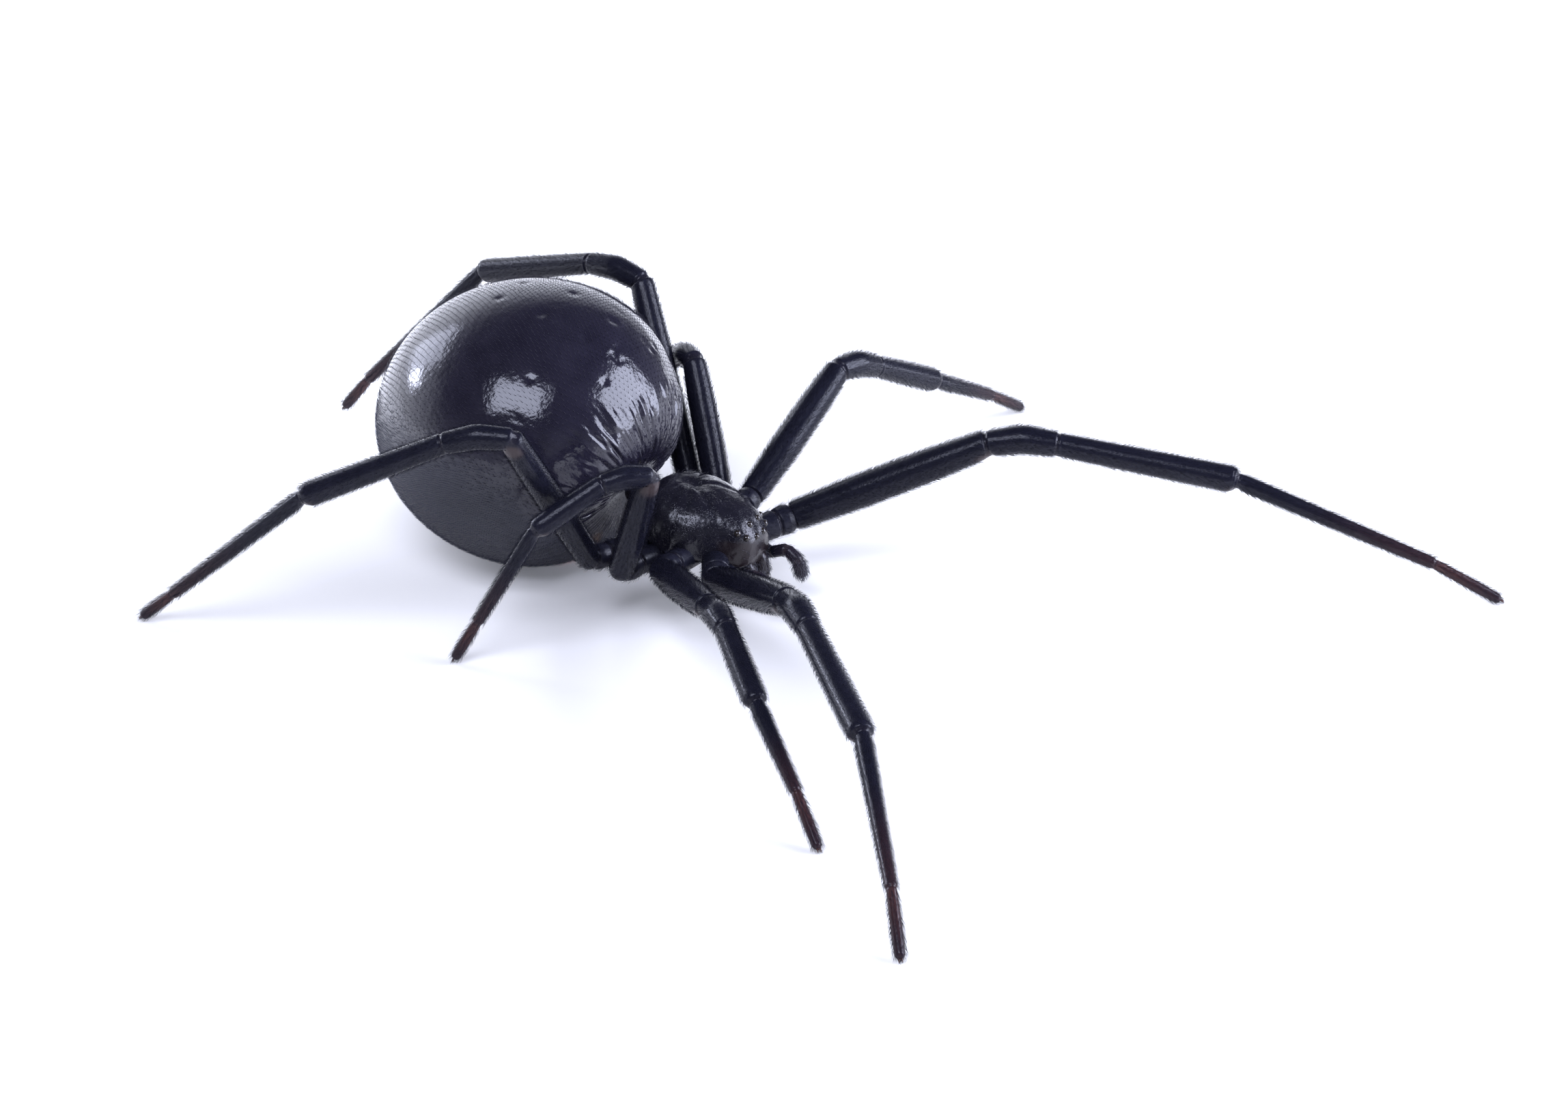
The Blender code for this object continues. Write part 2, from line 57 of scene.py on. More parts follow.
# Stations from the waist to the front: forward, half width, top, edge, bottom, and how boxy the
# dome is (1 for an ellipse, less for a squarer one)
CARAPACE_STATIONS = (
    (-1.86, 0.45, 0.42, -0.10, -0.50, 1.00),
    (-1.66, 1.00, 0.86, -0.22, -0.78, 0.92),
    (-1.22, 1.50, 1.12, -0.36, -0.95, 0.85),
    (-0.60, 1.80, 1.20, -0.45, -1.02, 0.85),
    (0.10, 1.77, 1.14, -0.48, -1.02, 0.85),
    (0.70, 1.45, 1.00, -0.52, -1.00, 0.85),
    (1.15, 1.10, 0.88, -0.62, -0.98, 0.76),
    (1.50, 0.92, 0.70, -0.70, -0.98, 0.68),
    (1.78, 0.80, 0.44, -0.74, -0.96, 0.65),
    (1.94, 0.62, 0.14, -0.60, -0.88, 0.65),
)
CARAPACE_RINGS = 260
CARAPACE_SIDES = 220
CARAPACE_RIM = (0.035, 0.10)  # how far the edge stands out, and its width as an angle
UNDERSIDE_PINCH = 0.36
FOVEA = (-0.45, 0.42, 0.22, 0.14)   # dip of the back: its place, length, width and depth
# Grooves of the carapace, each from one place to another: forward and outward, width, depth
GROOVES = (
    ((-0.35, 0.16), (1.15, 1.10), 0.10, 0.055),
    ((-0.50, 0.26), (0.10, 1.50), 0.12, 0.030),
    ((-0.58, 0.24), (-0.70, 1.55), 0.12, 0.030),
    ((-0.70, 0.18), (-1.30, 1.15), 0.12, 0.030),
)

# Eyes: name, forward, outward, up, radius
EYES = (
    ("front_middle", 1.92, 0.21, 0.18, 0.11),
    ("front_side", 1.82, 0.62, 0.26, 0.11),
    ("rear_middle", 1.61, 0.25, 0.48, 0.11),
    ("rear_side", 1.53, 0.75, 0.39, 0.11),
)
EYE_SUNK = 0.30
EYE_MOUND = (0.21, 0.05)      # reach and height of the swelling that carries an eye
EYE_SWELL = (0.6, 0.35)       # shares of it that go upward and outward
CHEEK_START = (0.95, 1.30)    # how far forward the smooth cheeks begin
CHEEK_TOP = (0.05, 0.20)      # heights between which they end below the eyes
FACE = (1.8, 0.0)             # the hairier face lies before the first and below the second

# Abdomen
ABDOMEN_BACK = 6.10
ABDOMEN_SWING = radians(4.2)
ABDOMEN_FRONT = 4.76
ABDOMEN_REAR = 5.10
ABDOMEN_HALF_WIDTH = 4.86
ABDOMEN_TOP = 4.46
ABDOMEN_BELOW = 4.34
ABDOMEN_FLAT_DEPTH = 0.05
ABDOMEN_COAT_DEPTH = 0.05
ABDOMEN_RINGS = 270
ABDOMEN_SIDES = 520
RING_SPREAD = 0.92        # below 1, rings are wider apart near the waist
MEAN_RADIUS = 4.5
REST_HEIGHT = 0.015       # of the skin that lies on the floor
REST_SOFTNESS = 0.05
# Hollows of the soft skin: share of the radius taken out, and how far each spreads
WAIST_DIMPLE = (0.22, radians(23))
WAIST_MOUTH = (-2.3, 0, 0)
HIP_HOLLOW = (0.10, radians(20))
HIP_WAY = (0.74, 0.49, -0.45)       # ahead, outward, up: over the last pair of hips
THIGH_HOLLOW = (0.18, radians(24))
THIGH_WAY = (0.50, 0.86, 0.0)       # where the left hind thigh leans on the flank
# Wrinkles that run to the waist; the angles are measured from the waist
WRINKLE_COUNT = 190       # lumps round the abdomen
WRINKLE_LENGTH = 0.8
WRINKLE_START = (radians(12), radians(20))
WRINKLE_MIDDLE = (radians(44), radians(64))
WRINKLE_MIDDLE_LOSS = 0.80
WRINKLE_END = (radians(70), radians(92))
WRINKLE_TOP = (0.32, 0.54)   # heights between which they fade on the smooth back
WRINKLE_TOP_LOSS = 0.88
WRINKLE_BREAKS = (-0.30, 0.20)
WRINKLE_BREAK_LOSS = 0.70
# Soft dents, also measured from the waist
DENT_DEPTH = 0.04
DENT_RARITY = 0.45        # the higher, the fewer
DENT_START = (radians(30), radians(45))
DENT_END = (radians(70), radians(95))
# Muscle pits of the back: ahead, outward, up, reach, depth
PITS = (
    (0.74, 0.285, 0.61, 0.11, 0.035),
    (0.38, 0.63, 0.68, 0.11, 0.035),
    (0.52, 0.17, 0.84, 0.16, 0.05),
    (0.18, 0.20, 0.96, 0.18, 0.05),
    (-0.20, 0.15, 0.97, 0.15, 0.04),
)
# Uneven surfaces: size of the lumps, height and seed
LUMPS = {
    "waver": (1.1, 1.6, 11),
    "ridges": (1.0, 0.065, 12),
    "breaks": (0.9, 1.0, 13),
    "dents": (0.34, 1.0, 14),
    "grain": (0.11, 0.006, 21),
    "swell": (0.35, 0.012, 22),
}

# Red mark of the underside
HOURGLASS_AHEAD = 0.05        # how far its middle lies ahead of the lowest point, as a share
HOURGLASS_HALF_WIDTH = 0.13   # at its middle
HOURGLASS_FLARE = (0.62, 1.15, 1.35)   # added width, how far out it is reached, and its curve
HOURGLASS_HALF_LENGTH = 1.20
HOURGLASS_SOFT = 0.10
# Lung covers of the underside
LUNG_WAY = (0.62, 0.26, -0.72)    # ahead, outward, up
LUNG_SIZE = (0.11, 0.15)          # half width and half length, as shares of the radius
LUNG_EDGE = (0.6, 1.1)            # where they fade, as shares of their size

# Spinnerets
SPINNERET_PITCH = radians(-47)
MOUND_RADII = (0.86, 0.70)
MOUND_REACH = (0.5, 0.22)     # below and above the skin
SPINNERETS = (                # outward, up along the surface, length, radius
    (0.28, 0.24, 0.62, 0.24),
    (0.17, -0.02, 0.50, 0.18),
    (0.30, -0.30, 0.62, 0.24),
)
SPINNERET_ROOT = 0.3          # length under the skin
SPINNERET_LEAN = (0.5, 0.3)   # how much they lean together, in height and sideways
SPINNERET_NECK = (0.62, 0.10, 0.04)   # its place as a share of the length, depth and half length

# Waist, jaws and feelers: forward, outward, up
WAIST_START = (-1.5, 0, -0.12)
WAIST_REACH = 3.6             # from the abdomen's middle
WAIST_RADII = (0.34, 0.30)
JAW_PATH = ((1.50, 0.42, -0.60), (1.82, 0.40, -0.90), (1.92, 0.40, -1.32), (1.87, 0.35, -1.80))
JAW_RADII = (0.20, 0.26, 0.275, 0.19)
FANG_PATH = ((1.87, 0.34, -1.72), (1.85, 0.28, -1.94), (1.69, 0.20, -2.06))
FANG_RADII = (0.12, 0.09, 0.02)
PALP_PATH = (
    (1.20, 0.95, -0.72),
    (1.84, 1.04, -0.98),
    (2.42, 1.00, -0.66),
    (2.86, 0.97, -0.90),
    (3.06, 0.94, -1.42),
)
PALP_RADII = (0.24, 0.19, 0.19, 0.20, 0.19)
PALP_NECKS = ((0.1, 0.4), (0.0, 0.5), (0.0, 0.5))   # how far past a corner, how much longer below
PALP_NECK = (0.14, 0.05)      # depth and half length of each
PALP_CLUB = (0.55, 0.80)      # where the hairy end starts, as a share of the length

# Legs, placed as in the solids
HIP_ROOTS = ((0.85, 0.75, -0.70), (0.20, 0.85, -0.70), (-0.50, 0.85, -0.72), (-1.15, 0.75, -0.70))
FEMUR_BASES = ((1.83, 2.48, -0.36), (0.14, 2.90, -0.39), (-1.11, 3.08, -0.74), (-2.18, 3.13, -0.71))
SEGMENT_LENGTHS = (       # femur, patella, tibia, metatarsus, tarsus
    (6.32, 2.07, 5.43, 6.43, 2.31),
    (5.00, 1.78, 3.21, 3.33, 1.95),
    (4.00, 1.48, 2.40, 3.54, 1.41),
    (6.50, 2.04, 4.78, 6.10, 1.45),
)
# Skin radii: hip, femur base, middle and end, patella, tibia base and end,
# metatarsus base and end, tarsus base and tip
SKIN_RADII = (
    (0.41, 0.46, 0.515, 0.430, 0.415, 0.355, 0.410, 0.255, 0.185, 0.155, 0.150),
    (0.38, 0.41, 0.465, 0.395, 0.385, 0.330, 0.365, 0.235, 0.178, 0.150, 0.140),
    (0.36, 0.42, 0.425, 0.360, 0.350, 0.310, 0.335, 0.225, 0.170, 0.148, 0.135),
    (0.37, 0.39, 0.425, 0.380, 0.370, 0.330, 0.375, 0.240, 0.178, 0.152, 0.145),
)
FOOT_HEIGHT = 0.13
# Each leg's stance: its size, the outward turns of femur, shin and foot, and the rise of femur,
# patella, tibia and metatarsus, in degrees
STANCES = {
    (LEFT, 0): (1.03, (24, 22.4, 22.2), (24.3, 2.1, -9.9, -22.6)),
    (LEFT, 1): (1.02, (80, 75.4, 79.5), (31.5, -15.5, -27.7, -28.7)),
    (LEFT, 2): (1.04, (136, 139, 138), (53.0, -17.0, -30.0, -40.0)),
    (LEFT, 3): (0.99, (140.4, 170.7, 189), (52.0, 1.8, -18.6, -47.6)),
    (RIGHT, 0): (0.935, (39.6, 43.9, 54.5), (19.6, 3.1, -11.7, -16.6)),
    (RIGHT, 1): (0.99, (44.1, 44.5, 39.5), (13.3, 5.1, -17.3, -24.8)),
    (RIGHT, 2): (1.01, (25, 134, 152), (68.2, -1.1, -30.3, -60.0)),
    (RIGHT, 3): (1.00, (100, 159.5, 173), (56.6, -7.6, -25.3, -42.4)),
}
LEG_SIDES = 32
LEG_STEP = 0.09           # between rings along a leg
JOINT_STEP = 0.022        # between rings near a joint
JOINT_REACH = 0.42
CORNER_WIDTH = 0.50       # length over which a corner of a route is rounded
ROUTE_STEP = 0.02
PATELLA_ARCH = 0.075      # how far the patella arches up, as a share of its length
NECK_FILL = 0.6           # how far the soft skin fills a neck below
LEG_LOWEST = 0.012
# Joints of a leg: depth of the neck, half its length, how much longer it is below
LEG_JOINTS = {
    "trochanter": (0.15, 0.055, 0.2),
    "femur": (0.20, 0.06, 0.3),
    "patella": (0.15, 0.055, 3.2),
    "tibia": (0.10, 0.045, 0.5),
    "metatarsus": (0.16, 0.055, 3.0),
    "tarsus": (0.13, 0.04, 0.6),
}
# Soft brown skin under the joints: how brown, how far before the joint, and its reach
MEMBRANES = {
    "patella": (1.0, 0.20, 0.30),
    "metatarsus": (0.8, 0.12, 0.18),
    "tarsus": (0.5, 0.06, 0.10),
}
CLAWS = ((-0.045, 0.20), (0.045, 0.20), (0.0, 0.13))   # aside and length
CLAW_RADII = (0.026, 0.020, 0.005)
CLAW_CURVE = (0.035, 0.05)    # up at the bend and down at the tip
CLAW_LOWEST = 0.03

# Coats: slot and material; length and what is added to it, lift in degrees and what is added to it,
# radius, bend towards the skin, sway aside, and the girth half way up as a share
COATS = {
    "abdomen_upper": ("abdomen", "abdomen_hair", 0.11, 0.13, 30, 0, 0.0085, 0.55, 0.10, 0.38),
    "abdomen_belly": ("abdomen", "belly_hair", 0.20, 0.00, 32, 0, 0.0065, 0.60, 0.25, 0.62),
    "cephalothorax": ("cuticle", "grey_hair", 0.14, 0.00, 38, 0, 0.0065, 0.50, 0.50, 0.62),
    "chelicera": ("mouthparts", "grey_hair", 0.20, 0.00, 26, 0, 0.0065, 0.50, 0.35, 0.62),
    "pedipalp": ("mouthparts", "grey_hair", 0.17, 0.05, 26, 8, 0.0060, 0.50, 0.30, 0.62),
    "spinneret": ("abdomen", "leg_hair", 0.15, 0.00, 25, 0, 0.0080, 0.50, 0.20, 0.62),
    "leg": ("cuticle", "leg_hair", 0.20, 0.08, 31, -9, 0.0045, 0.35, 0.16, 0.62),
}
LIFT_SPREAD = (0.75, 1.25)
LENGTH_SPREAD = (0.75, 1.2)
HAIR_LOWEST = 0.004
HAIR_SUNK = 0.8           # of its radius
HAIR_PATCH = (0.0015, 0.0009)   # half the width of a hair's patch on the unwrap, root and middle
UNWRAP_EDGE = 0.01
HAIR_TURNS = [2 * pi * k / 3 for k in range(3)]
HAIR_POINTS = 7
HAIR_FACES = np.array([
    (0, 2, 1),
    (0, 1, 4), (0, 4, 3), (1, 2, 5), (1, 5, 4), (2, 0, 3), (2, 3, 5),
    (3, 4, 6), (4, 5, 6), (5, 3, 6),
])
HAIR_SPACING = 0.17
VELVET_SPACING = 0.082
VELVET_EDGE = (-0.02, 0.34)   # heights between which the velvet gives way to single hairs
VELVET_RISE = 0.30            # how much lower the edge lies towards the front
VELVET_END_AS_WAIST_SHADE = (0.40, 2.0)      # how far forward it stops, and how steeply; the black skin left near the waist is painted shade
HAIR_ROWS = (0.4, 0.3)        # bare skin before the first row and after the last
ROW_JITTER = (0.05, 0.06)     # round the row and across it
ROW_SHARE = 0.87              # distance of the rows, as a share of the spacing
HAIRS_LENGTHEN = (radians(30), radians(90))   # from the waist
# Hairs on a square millimetre
HEAD_HAIRS = (14.0, 0.6, 90.0)     # above, its share below, added on the face
JAW_HAIRS = 170.0
PALP_HAIRS = (70.0, 330.0)         # all over, added on the club
SPINNERET_HAIRS = 90.0
LEG_HAIRS = (90.0, 130.0, 60.0)    # all over, added from the thigh on, added beyond the shin
HIP_BARE = 0.6

# Colours, dark and light where there are two
CUTICLE_BLACK = ((0.0065, 0.0063, 0.0105), (0.0100, 0.0092, 0.0150))
CHEEK_BROWN = (0.013, 0.0088, 0.0105)
SKIN_BLACK = ((0.0100, 0.0090, 0.0170), (0.0160, 0.0145, 0.0250))
BELLY_GREY = (0.028, 0.029, 0.040)
LUNG_BROWN = (0.055, 0.030, 0.018)
MARK_RED = ((0.42, 0.012, 0.006), (0.62, 0.040, 0.012))
LEG_BLACK = ((0.0080, 0.0084, 0.0155), (0.0120, 0.0122, 0.0210))
TOE_BROWN = (0.054, 0.025, 0.025)
MEMBRANE_BROWN = (0.044, 0.033, 0.034)
# Skins: colour and roughness for a viewer without nodes, and gloss where it isn't the usual one
PLAIN_CUTICLE = ((0.011, 0.010, 0.018), 0.20, 0.42)
PLAIN_SKIN = ((0.013, 0.012, 0.020), 0.15)
PLAIN_LEG = ((0.010, 0.009, 0.018), 0.25, 0.20)
# Colour, roughness and the clear coat's weight
SHINES = {
    "eye_shine": ((0.010, 0.007, 0.006), 0.07, 0.3),
    "claw_brown": ((0.060, 0.022, 0.014), 0.25, 0.0),
}
# Colour, roughness and gloss
HAIRS = {
    "abdomen_hair": ((0.012, 0.011, 0.018), 0.42, 0.30),
    "belly_hair": ((0.024, 0.025, 0.039), 0.50, 0.30),
    "leg_hair": ((0.008, 0.008, 0.014), 0.50, 0.06),
    "grey_hair": ((0.050, 0.049, 0.060), 0.42, 0.30),
}
CLOUD = (0.3, 0.7)            # range of a noise that its two colours share out

# Camera, set as the photo was taken
CAMERA_TURN = radians(-62)
CAMERA_RISE = radians(27)
CAMERA_DISTANCE = 200.0
CAMERA_TARGET = (3.635, -0.830, 0.0)   # on the floor, from the body's middle
LENS = 147.4
SENSOR = 36.0
CLIP_METRES = (0.005, 10.0)

# Light
# Soft boxes that face the abdomen: name; right, up and back as the camera sees it; distance, width,
# height and brightness
LIGHTS = (
    ("window_front", (-0.20, 0.46, 0.90), 260, 175, 115, 9.5),
    ("window_right", (0.95, 0.28, 0.17), 260, 200, 215, 11.5),
    ("window_left", (-0.74, 0.60, -0.36), 300, 130, 135, 4.8),
    ("lamp_left", (-0.86, 0.42, -0.29), 300, 55, 34, 25.0),
)
WINDOW_COLOUR = (0.75, 0.79, 1.0)
SURROUND_COLOUR = (0.84, 0.87, 1.0)
BRIGHT_SIDE = (-0.55, -0.83)      # right and back of the camera
SURROUND_BRIGHT = 2.8
SURROUND_LOW = 0.45
SURROUND_DARK = 0.08
SURROUND_TURN = (0.25, 0.80)      # how far towards the bright side it starts and is full
BRIGHT_TOP = (0.42, 0.80)         # heights between which the bright side turns dark
LOW_TOP = (0.05, 0.50)            # and the other sides
FLOOR_METRES = 4.0
FLOOR_COLOUR = (0.95, 0.93, 0.87)
FLOOR_ROUGHNESS = 0.55
FLOOR_GLOSS = 0.2
FLOOR_GLOW = (0.10, 1.70)         # near the camera, and far behind to the left
FLOOR_GLOW_REACH = (10.0, 32.0)
FLOOR_GLOW_RIGHT = (0.0, 0.45)    # added towards the camera's right
FLOOR_RIGHT_REACH = (2.0, 12.0)


def unit(vectors):
    """Vectors scaled to a length of one."""
    vectors = np.asarray(vectors, float)
    return vectors / np.linalg.norm(vectors, axis=-1, keepdims=True)


def distances(corners):
    """Distance of each corner along the line through them."""
    lengths = np.linalg.norm(np.diff(np.asarray(corners, float), axis=0), axis=1)
    return np.concatenate(([0.0], np.cumsum(lengths)))


def angles(ways, toward):
    """Angle between each direction and one of them."""
    return np.arccos(np.clip(ways @ toward, -1, 1))


def body_offset():
    """How far the frame's origin is from the floor under the body's middle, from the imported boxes."""
    low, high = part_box("cephalothorax")
    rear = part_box("abdomen")[1][1] / MM
    behind = rear - (ABDOMEN_BACK + ABDOMEN_REAR) * cos(ABDOMEN_SWING)
    return np.array([(low[0] + high[0]) / 2 / MM, behind, 0.0])


OFFSET = body_offset()


def body_point(forward, outward, up, side=LEFT):
    """A place given along the tilted body."""
    y = -forward * cos(BODY_TILT) - up * sin(BODY_TILT)
    z = BODY_HEIGHT - forward * sin(BODY_TILT) + up * cos(BODY_TILT)
    return np.stack(np.broadcast_arrays(side * outward, y, z), axis=-1) + OFFSET


def heading(side, turn, rise):
    """Unit vector turned outward from straight ahead and raised, both in degrees."""
    turn = radians(turn)
    rise = radians(rise)
    return np.array([side * sin(turn) * cos(rise), -cos(turn) * cos(rise), sin(rise)])


def between(places, known, table):
    """Rows of a table at places between the known ones."""
    return np.stack([np.interp(places, known, column) for column in np.transpose(table)], axis=1)


def soft_noise(points, kind):
    """Smooth noise with lumps of one kind."""
    size, height, seed = LUMPS[kind]
    span = 32
    table = np.random.default_rng(seed).uniform(-1, 1, (span, span, span))
    places = np.asarray(points) / size
    cell = np.floor(places).astype(int)
    part = places - cell
    part = part * part * (3 - 2 * part)
    total = 0
    for corner in np.ndindex(2, 2, 2):
        index = (cell + corner) % span
        weight = np.prod(np.where(np.array(corner) == 1, part, 1 - part), axis=-1)
        total = total + weight * table[index[..., 0], index[..., 1], index[..., 2]]
    return total * height


def step_between(low, high, values):
    """Smooth step from 0 at low to 1 at high."""
    share = np.clip((np.asarray(values, float) - low) / (high - low), 0, 1)
    return share * share * (3 - 2 * share)


class Surface:
    """Rings of points from one end to the other, closed round each ring and at both ends."""

    def __init__(self, points, start_tip, end_tip):
        self.points = points
        self.start_tip = start_tip
        self.end_tip = end_tip
        self.marks = {}
        along = np.gradient(points, axis=0)
        around = (np.roll(points, -1, axis=1) - np.roll(points, 1, axis=1)) / 2
        self.along = unit(along + 1e-12)
        normals = np.cross(around, along)
        outward = points - points.mean(axis=1, keepdims=True)
        if np.sum(normals * outward) < 0:
            normals = -normals
        self.normals = unit(normals + 1e-15)

    def paint(self, **marks):
        """Marks for the materials to read, each one number or a grid of them."""
        for mark, values in marks.items():
            self.marks[mark] = np.broadcast_to(values, self.points.shape[:2])

    def areas(self):
        """Area of each cell between two rings."""
        across = np.roll(self.points, -1, axis=1)
        long_edge = self.points[1:] - self.points[:-1]
        short_edge = across[:-1] - self.points[:-1]
        return np.linalg.norm(np.cross(long_edge, short_edge), axis=-1)

    def at(self, values, ring, turn):
        """Vectors of a grid between its points."""
        rings, sides = self.points.shape[:2]
        low_ring = np.clip(np.floor(ring).astype(int), 0, rings - 2)
        low_side = np.floor(turn).astype(int) % sides
        high_side = (low_side + 1) % sides
        u = (ring - low_ring)[:, None]
        v = (turn - np.floor(turn))[:, None]
        lower = values[low_ring, low_side] * (1 - v) + values[low_ring, high_side] * v
        upper = values[low_ring + 1, low_side] * (1 - v) + values[low_ring + 1, high_side] * v
        return lower * (1 - u) + upper * u

    def number_at(self, values, ring, turn):
        """Numbers of a grid between its points."""
        return self.at(values[..., None], ring, turn)[:, 0]

    def piece(self, name, material, slot, nodes=()):
        """Closed smooth piece of the spider, with the surface's marks as attributes."""
        rings, sides = self.points.shape[:2]
        index = np.arange(rings * sides).reshape(rings, sides)
        turned = np.roll(index, -1, axis=1)
        quads = np.stack([index[:-1], turned[:-1], turned[1:], index[1:]], axis=-1).reshape(-1, 4)
        start = np.stack([turned[0], index[0], np.full(sides, rings * sides)], axis=-1)
        end = np.stack([index[-1], turned[-1], np.full(sides, rings * sides + 1)], axis=-1)
        points = np.concatenate([self.points.reshape(-1, 3), [self.start_tip, self.end_tip]])
        data = bpy.data.meshes.new(name)
        data.from_pydata((points * MM).tolist(), [], quads.tolist() + start.tolist() + end.tolist())
        for mark, values in self.marks.items():
            flat = np.concatenate([values.ravel(), [values[0].mean(), values[-1].mean()]])
            layer = data.attributes.new(mark, "FLOAT", "POINT")
            layer.data.foreach_set("value", flat.astype(np.float32))
        data.materials.append(MADE[material])
        data.shade_smooth()
        if face_inward(data):
            data.flip_normals()
        return settle(add_object(name, data), nodes)


def add_object(name, data):
    """New object in the scene."""
    piece = bpy.data.objects.new(name, data)
    bpy.context.collection.objects.link(piece)
    return piece


def face_inward(data):
    """Whether a closed mesh's faces point inward, from the sign of its volume."""
    points = np.empty(len(data.vertices) * 3, np.float32)
    data.vertices.foreach_get("co", points)
    points = points.reshape(-1, 3).astype(float)
    data.calc_loop_triangles()
    corners = np.empty(len(data.loop_triangles) * 3, np.int32)
    data.loop_triangles.foreach_get("vertices", corners)
    a, b, c = (points[corners.reshape(-1, 3)[:, k]] for k in range(3))
    return np.einsum("ij,ij->i", a, np.cross(b, c)).sum() < 0


def route(corners, marks, rounding):
    """Points and directions at distances along a line whose corners are rounded."""
    corners = np.asarray(corners, float)
    knots = distances(corners)
    fine = np.arange(-rounding, knots[-1] + rounding, ROUTE_STEP)
    line = between(fine, knots, corners)
    line += np.minimum(fine, 0)[:, None] * unit(corners[1] - corners[0])
    line += np.maximum(fine - knots[-1], 0)[:, None] * unit(corners[-1] - corners[-2])
    width = max(3, int(rounding / ROUTE_STEP))
    kernel = np.hanning(width + 2)[1:-1]
    kernel /= kernel.sum()
    smooth = np.stack([np.convolve(line[:, k], kernel, mode="same") for k in range(3)], axis=1)
    edge = width // 2 + 1
    smooth[:edge] = line[:edge]
    smooth[-edge:] = line[-edge:]
    return between(marks, fine, smooth), unit(between(marks, fine, np.gradient(smooth, axis=0)))


def tube(corners, marks, radii, sides, rounding=CORNER_WIDTH, dips=()):
    """Round limb along a rounded line, with narrow necks where it is jointed."""
    centres, directions = route(corners, marks, rounding)
    above = unit(np.array([0, 0, 1.0]) - directions * directions[:, 2:])
    across = np.cross(directions, above)
    turns = np.linspace(0, 2 * pi, sides, endpoint=False)
    ring = np.cos(turns)[None, :, None] * above[:, None] + np.sin(turns)[None, :, None] * across[:, None]
    below = np.clip(-np.cos(turns), 0, 1)[None, :]
    width = np.repeat(radii[:, None], sides, axis=1)
    neck = np.zeros_like(width)
    for place, depth, half_length, longer_below in dips:
        reach = half_length * (1 + longer_below * below)
        shape = np.exp(-((marks[:, None] - place) / reach) ** 4)
        width = width * (1 - depth * shape * (1 - NECK_FILL * below))
        neck = np.maximum(neck, shape)
    points = centres[:, None] + ring * width[:, :, None]
    beyond = directions * radii[:, None] * 0.3
    surface = Surface(points, centres[0] - beyond[0], centres[-1] + beyond[-1])
    surface.paint(neck=neck, below=below)
    return surface


def rounded_end(marks, radii, end, size):
    """Radii brought down to a round end over the last stretch."""
    share = np.clip((end - marks) / size, 0, 1)
    return radii * np.sqrt(np.clip(1 - (1 - share) ** 2, 0.02, 1))


def fine_marks(length, joints):
    """Distances along a leg, closer together near its joints and at its end."""
    tip_reach = 0.15
    closest = 0.008
    marks = list(np.arange(0, length, LEG_STEP)) + [length]
    for joint in joints:
        marks += list(np.arange(joint - JOINT_REACH, joint + JOINT_REACH, JOINT_STEP))
    marks += list(np.arange(length - tip_reach, length, JOINT_STEP))
    marks = np.unique(np.clip(np.round(marks, 3), 0, length))
    return marks[np.concatenate(([True], np.diff(marks) > closest))]


def limb_surface(corners, radii, sides=24, step=0.03, rounding=0.3, dips=()):
    """Tapered limb with rounded ends through the corners."""
    knots = distances(corners)
    marks = np.arange(0, knots[-1] + step, step)
    marks = np.append(marks[marks < knots[-1]], knots[-1])
    widths = rounded_end(marks, np.interp(marks, knots, radii), knots[-1], radii[-1])
    return tube(corners, marks, widths, sides, rounding, dips)


def feed(tree, node, inputs):
    """Set a node's inputs, each to a value or to another node's output."""
    for place, value in inputs.items():
        socket = node.inputs[place]
        if isinstance(value, bpy.types.NodeSocket):
            tree.links.new(value, socket)
        else:
            socket.default_value = (*value, 1.0) if socket.type == "RGBA" else value


def add_node(tree, kind, inputs=()):
    """New shader node with its inputs set."""
    node = tree.nodes.new("ShaderNode" + kind)
    feed(tree, node, dict(inputs))
    return node


def map_range(tree, value, low, high, to_low=0.0, to_high=1.0):
    """Number brought from one range to another, and kept inside it."""
    names = ("Value", "From Min", "From Max", "To Min", "To Max")
    return add_node(tree, "MapRange", zip(names, (value, low, high, to_low, to_high))).outputs["Result"]


def math_node(tree, operation, first, second):
    """Result of a sum on two numbers."""
    node = add_node(tree, "Math", {0: first, 1: second})
    node.operation = operation
    return node.outputs[0]


def along_node(tree, vector, way):
    """How far a vector reaches in a direction."""
    node = add_node(tree, "VectorMath", {0: vector, 1: tuple(unit(way))})
    node.operation = "DOT_PRODUCT"
    return node.outputs["Value"]


def mix_node(tree, factor, first, second, kind="RGBA"):
    """Colour between two, or number where the kind says so."""
    low, high, result = {"RGBA": (6, 7, 2), "FLOAT": (2, 3, 0)}[kind]
    node = add_node(tree, "Mix", {0: factor, low: first, high: second})
    node.data_type = kind
    return node.outputs[result]


